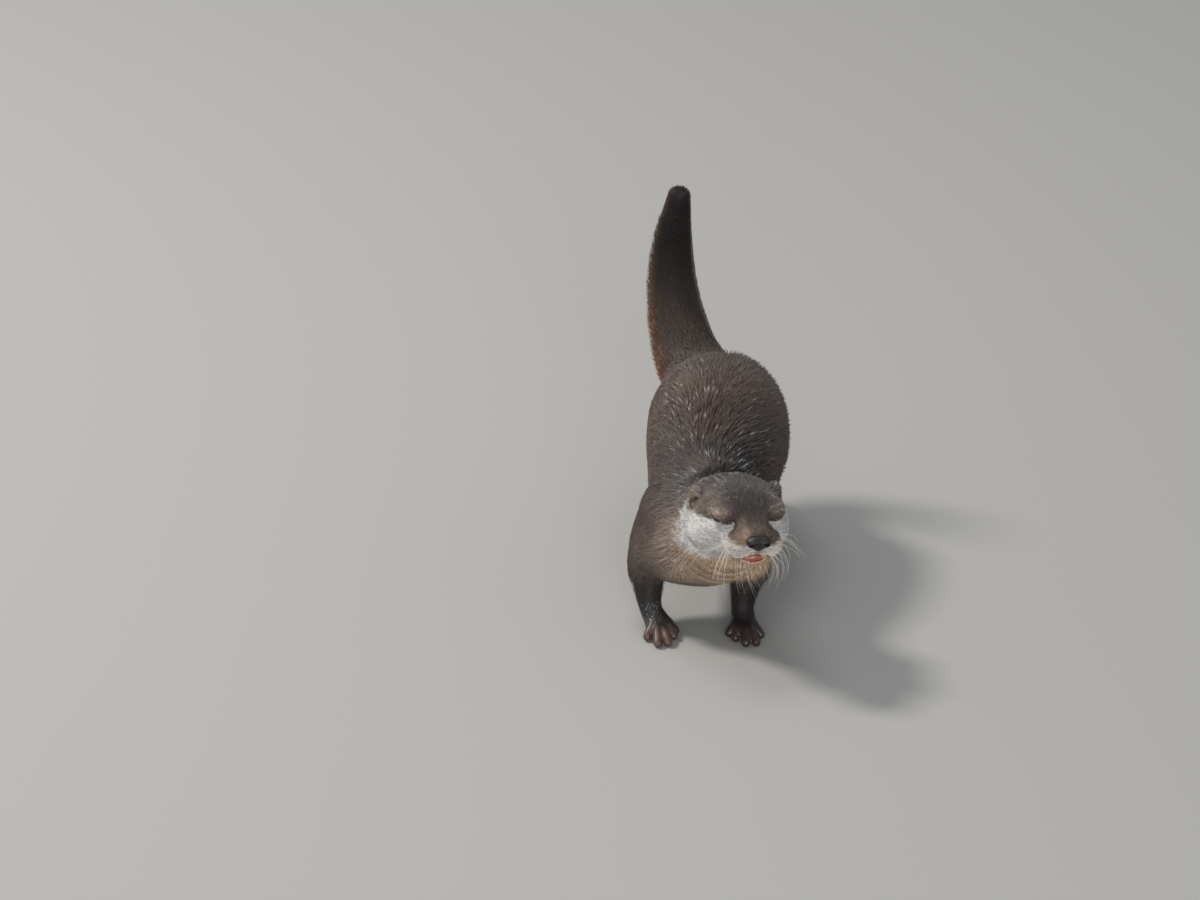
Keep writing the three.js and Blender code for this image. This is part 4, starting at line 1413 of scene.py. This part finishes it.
def foot_material():
    """Wet, nearly bare skin over the toes and soles, with fine creases."""
    finish = {"Coat Weight": 0.2, "Coat Roughness": 0.25}
    made, tree, shader = start_material("wet foot skin", paint(74, 55, 50), 0.32, finish)
    patches = noise(tree, 160, 4)
    shaded(tree, shader, "skin_colour", patches, 0.75, 1.3)
    tree.links.new(spread(tree, patches, 0.35, 0.65, 0.34, 0.5), shader.inputs["Roughness"])
    bump(tree, shader, cells(tree, 900), 0.5, 0.0004)
    return made


def lip_material():
    """Moist pink skin of the lips."""
    moist = {"Coat Weight": 0.3, "Coat Roughness": 0.2}
    made, tree, shader = start_material("moist lip", LIP_PINK, 0.35, moist)
    spots = noise(tree, 700, 3)
    shaded(tree, shader, "skin_colour", spots, 0.8, 1.15)
    bump(tree, shader, spots, 0.4, 0.0003)
    return made


def nose_material():
    """Black pebbled leather, moist on top."""
    finish = {"Specular IOR Level": 0.5, "Coat Weight": 0.1, "Coat Roughness": 0.3}
    made, tree, shader = start_material("moist nose leather", paint(22, 20, 21), 0.4, finish)
    patches = noise(tree, 260, 3)
    tree.links.new(spread(tree, patches, 0.35, 0.65, 0.36, 0.5), shader.inputs["Roughness"])
    bump(tree, shader, cells(tree, 1300), 0.7, 0.0004)
    return made


def tongue_material():
    """Wet pink tongue with small buds."""
    finish = {"Subsurface Weight": 0.1, "Subsurface Scale": 0.002, "Coat Weight": 0.4, "Coat Roughness": 0.15}
    made, tree, shader = start_material("moist tongue", paint(164, 95, 82), 0.35, finish)
    bump(tree, shader, noise(tree, 1800, 2), 0.5, 0.0003)
    return made


def eye_material():
    """Dark brown eye under a clear wet film."""
    finish = {"Coat Weight": 1.0, "Coat Roughness": 0.03}
    made, tree, shader = start_material("eye", IRIS_BROWN, 0.12, finish)
    tree.links.new(attribute(tree, "eye_colour")["Color"], shader.inputs["Base Color"])
    return made


def whisker_material():
    """Pale, slightly glossy hair."""
    return start_material("whisker", paint(226, 214, 194), 0.4)[0]


def claw_material():
    """Dark horn with a fine grain."""
    made, tree, shader = start_material("claw horn", paint(58, 44, 38), 0.3)
    bump(tree, shader, noise(tree, 1, 2, None, (300, 300, 2500)), 0.3, 0.0002)
    return made


def floor_material():
    """Matt grey studio floor."""
    return start_material("pale floor", paint(161, 160, 157), 0.8)[0]


materials = {
    "coat": coat_material(),
    "skin": skin_material(),
    "foot": foot_material(),
    "lip": lip_material(),
    "nose": nose_material(),
    "tongue": tongue_material(),
    "eye": eye_material(),
    "whisker": whisker_material(),
    "claw": claw_material(),
    "floor": floor_material(),
}
STRANDS = strands_tree()


# ---------------------------------------------------------------- skin, coat and face put together
def dress(skin):
    """Colours the skin and gives its feet and lips their own finish."""
    mesh = skin.data
    p, n = to_forms(points_of(mesh)), normals_of(mesh)
    write_colours(mesh, "skin_colour", bare_marking(p, n))
    for name in ("skin", "foot", "lip"):
        mesh.materials.append(materials[name])
    middle = to_forms(column(mesh.polygons, "center", 3))
    h = to_head(middle)
    across = h[:, 0] - MOUTH_SHIFT
    lips = (h[:, 2] < mouth_height(across) + 0.6) & (h[:, 2] > lip_low(across) - 2) & (np.abs(across) < 11)
    lips = lips & (h[:, 1] < -46)
    kind = np.where(middle[:, 2] < 15, 1, np.where(lips, 2, 0))
    mesh.polygons.foreach_set("material_index", kind.astype(np.int32))
    mesh.update()


skin = make_skin()
dress(skin)
grow_coat(skin)
skin.data.uv_layers.remove(skin.data.uv_layers.active)
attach(skin, "root")
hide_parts(*FLESH)
make_face()
places, polygons = [v.co for v in skin.data.vertices], [f.vertices for f in skin.data.polygons]
make_whiskers(BVHTree.FromPolygons(places, polygons))
make_claws()


# ---------------------------------------------------------------- floor, lights and camera
def floor():
    half = 8
    corners = [(-half, -half, 0), (half, -half, 0), (half, half, 0), (-half, half, 0)]
    piece = add_mesh("floor", corners, [[0, 1, 2, 3]])
    piece.data.materials.append(materials["floor"])
    piece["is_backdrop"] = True


def softbox(name, place, aim, size, power, colour=(1, 1, 1)):
    light = bpy.data.lights.new(name, "AREA")
    light.shape, light.size, light.energy, light.color = "DISK", size, power, colour
    lamp = add_object(name, light)
    lamp.location = place
    lamp.rotation_euler = (Vector(aim) - Vector(place)).to_track_quat("-Z", "Y").to_euler()


floor()
middle = (0, 0, 0.13)
softbox("key", (-2.7, 0.9, 3.3), middle, 0.8, 145, (1, 0.96, 0.91))
softbox("fill", (0.2, -3.7, 1.1), middle, 2.0, 74, (1, 0.98, 0.95))
softbox("top", (-0.6, 0.6, 3.6), middle, 1.8, 29)
world = bpy.data.worlds.new("studio")
world.use_nodes = True
sky = world.node_tree.nodes["Background"].inputs
sky["Color"].default_value = (0.75, 0.79, 0.85, 1)
sky["Strength"].default_value = 0.43
bpy.context.scene.world = world

CAMERA_RISE = math.radians(25)
CAMERA_DISTANCE = 3500
AIM = np.array([0, -15, 0])
AIM_ASIDE, AIM_BELOW = 0.025, 0.04643  # from the middle of the view, as shares of the distance
forward = np.array([0, math.cos(CAMERA_RISE), -math.sin(CAMERA_RISE)])
right = np.array([1.0, 0, 0])
upward = np.cross(right, forward)
place = AIM - CAMERA_DISTANCE * (forward + AIM_ASIDE * right - AIM_BELOW * upward)
lens = bpy.data.cameras.new("camera")
lens.lens, lens.sensor_width, lens.clip_start, lens.clip_end = 126, 36, 0.05, 60
camera = add_object("camera", lens)
camera.matrix_world = Matrix.Translation(to_frame(place)) @ Matrix(
    [(right[i], upward[i], -forward[i]) for i in range(3)]
).to_4x4()
bpy.context.scene.camera = camera
bpy.context.scene.view_settings.view_transform = "Standard"

sizes = {"cad": cad_box, "visual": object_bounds()}
{name: [list(corner) for corner in box] for name, box in sizes.items()}
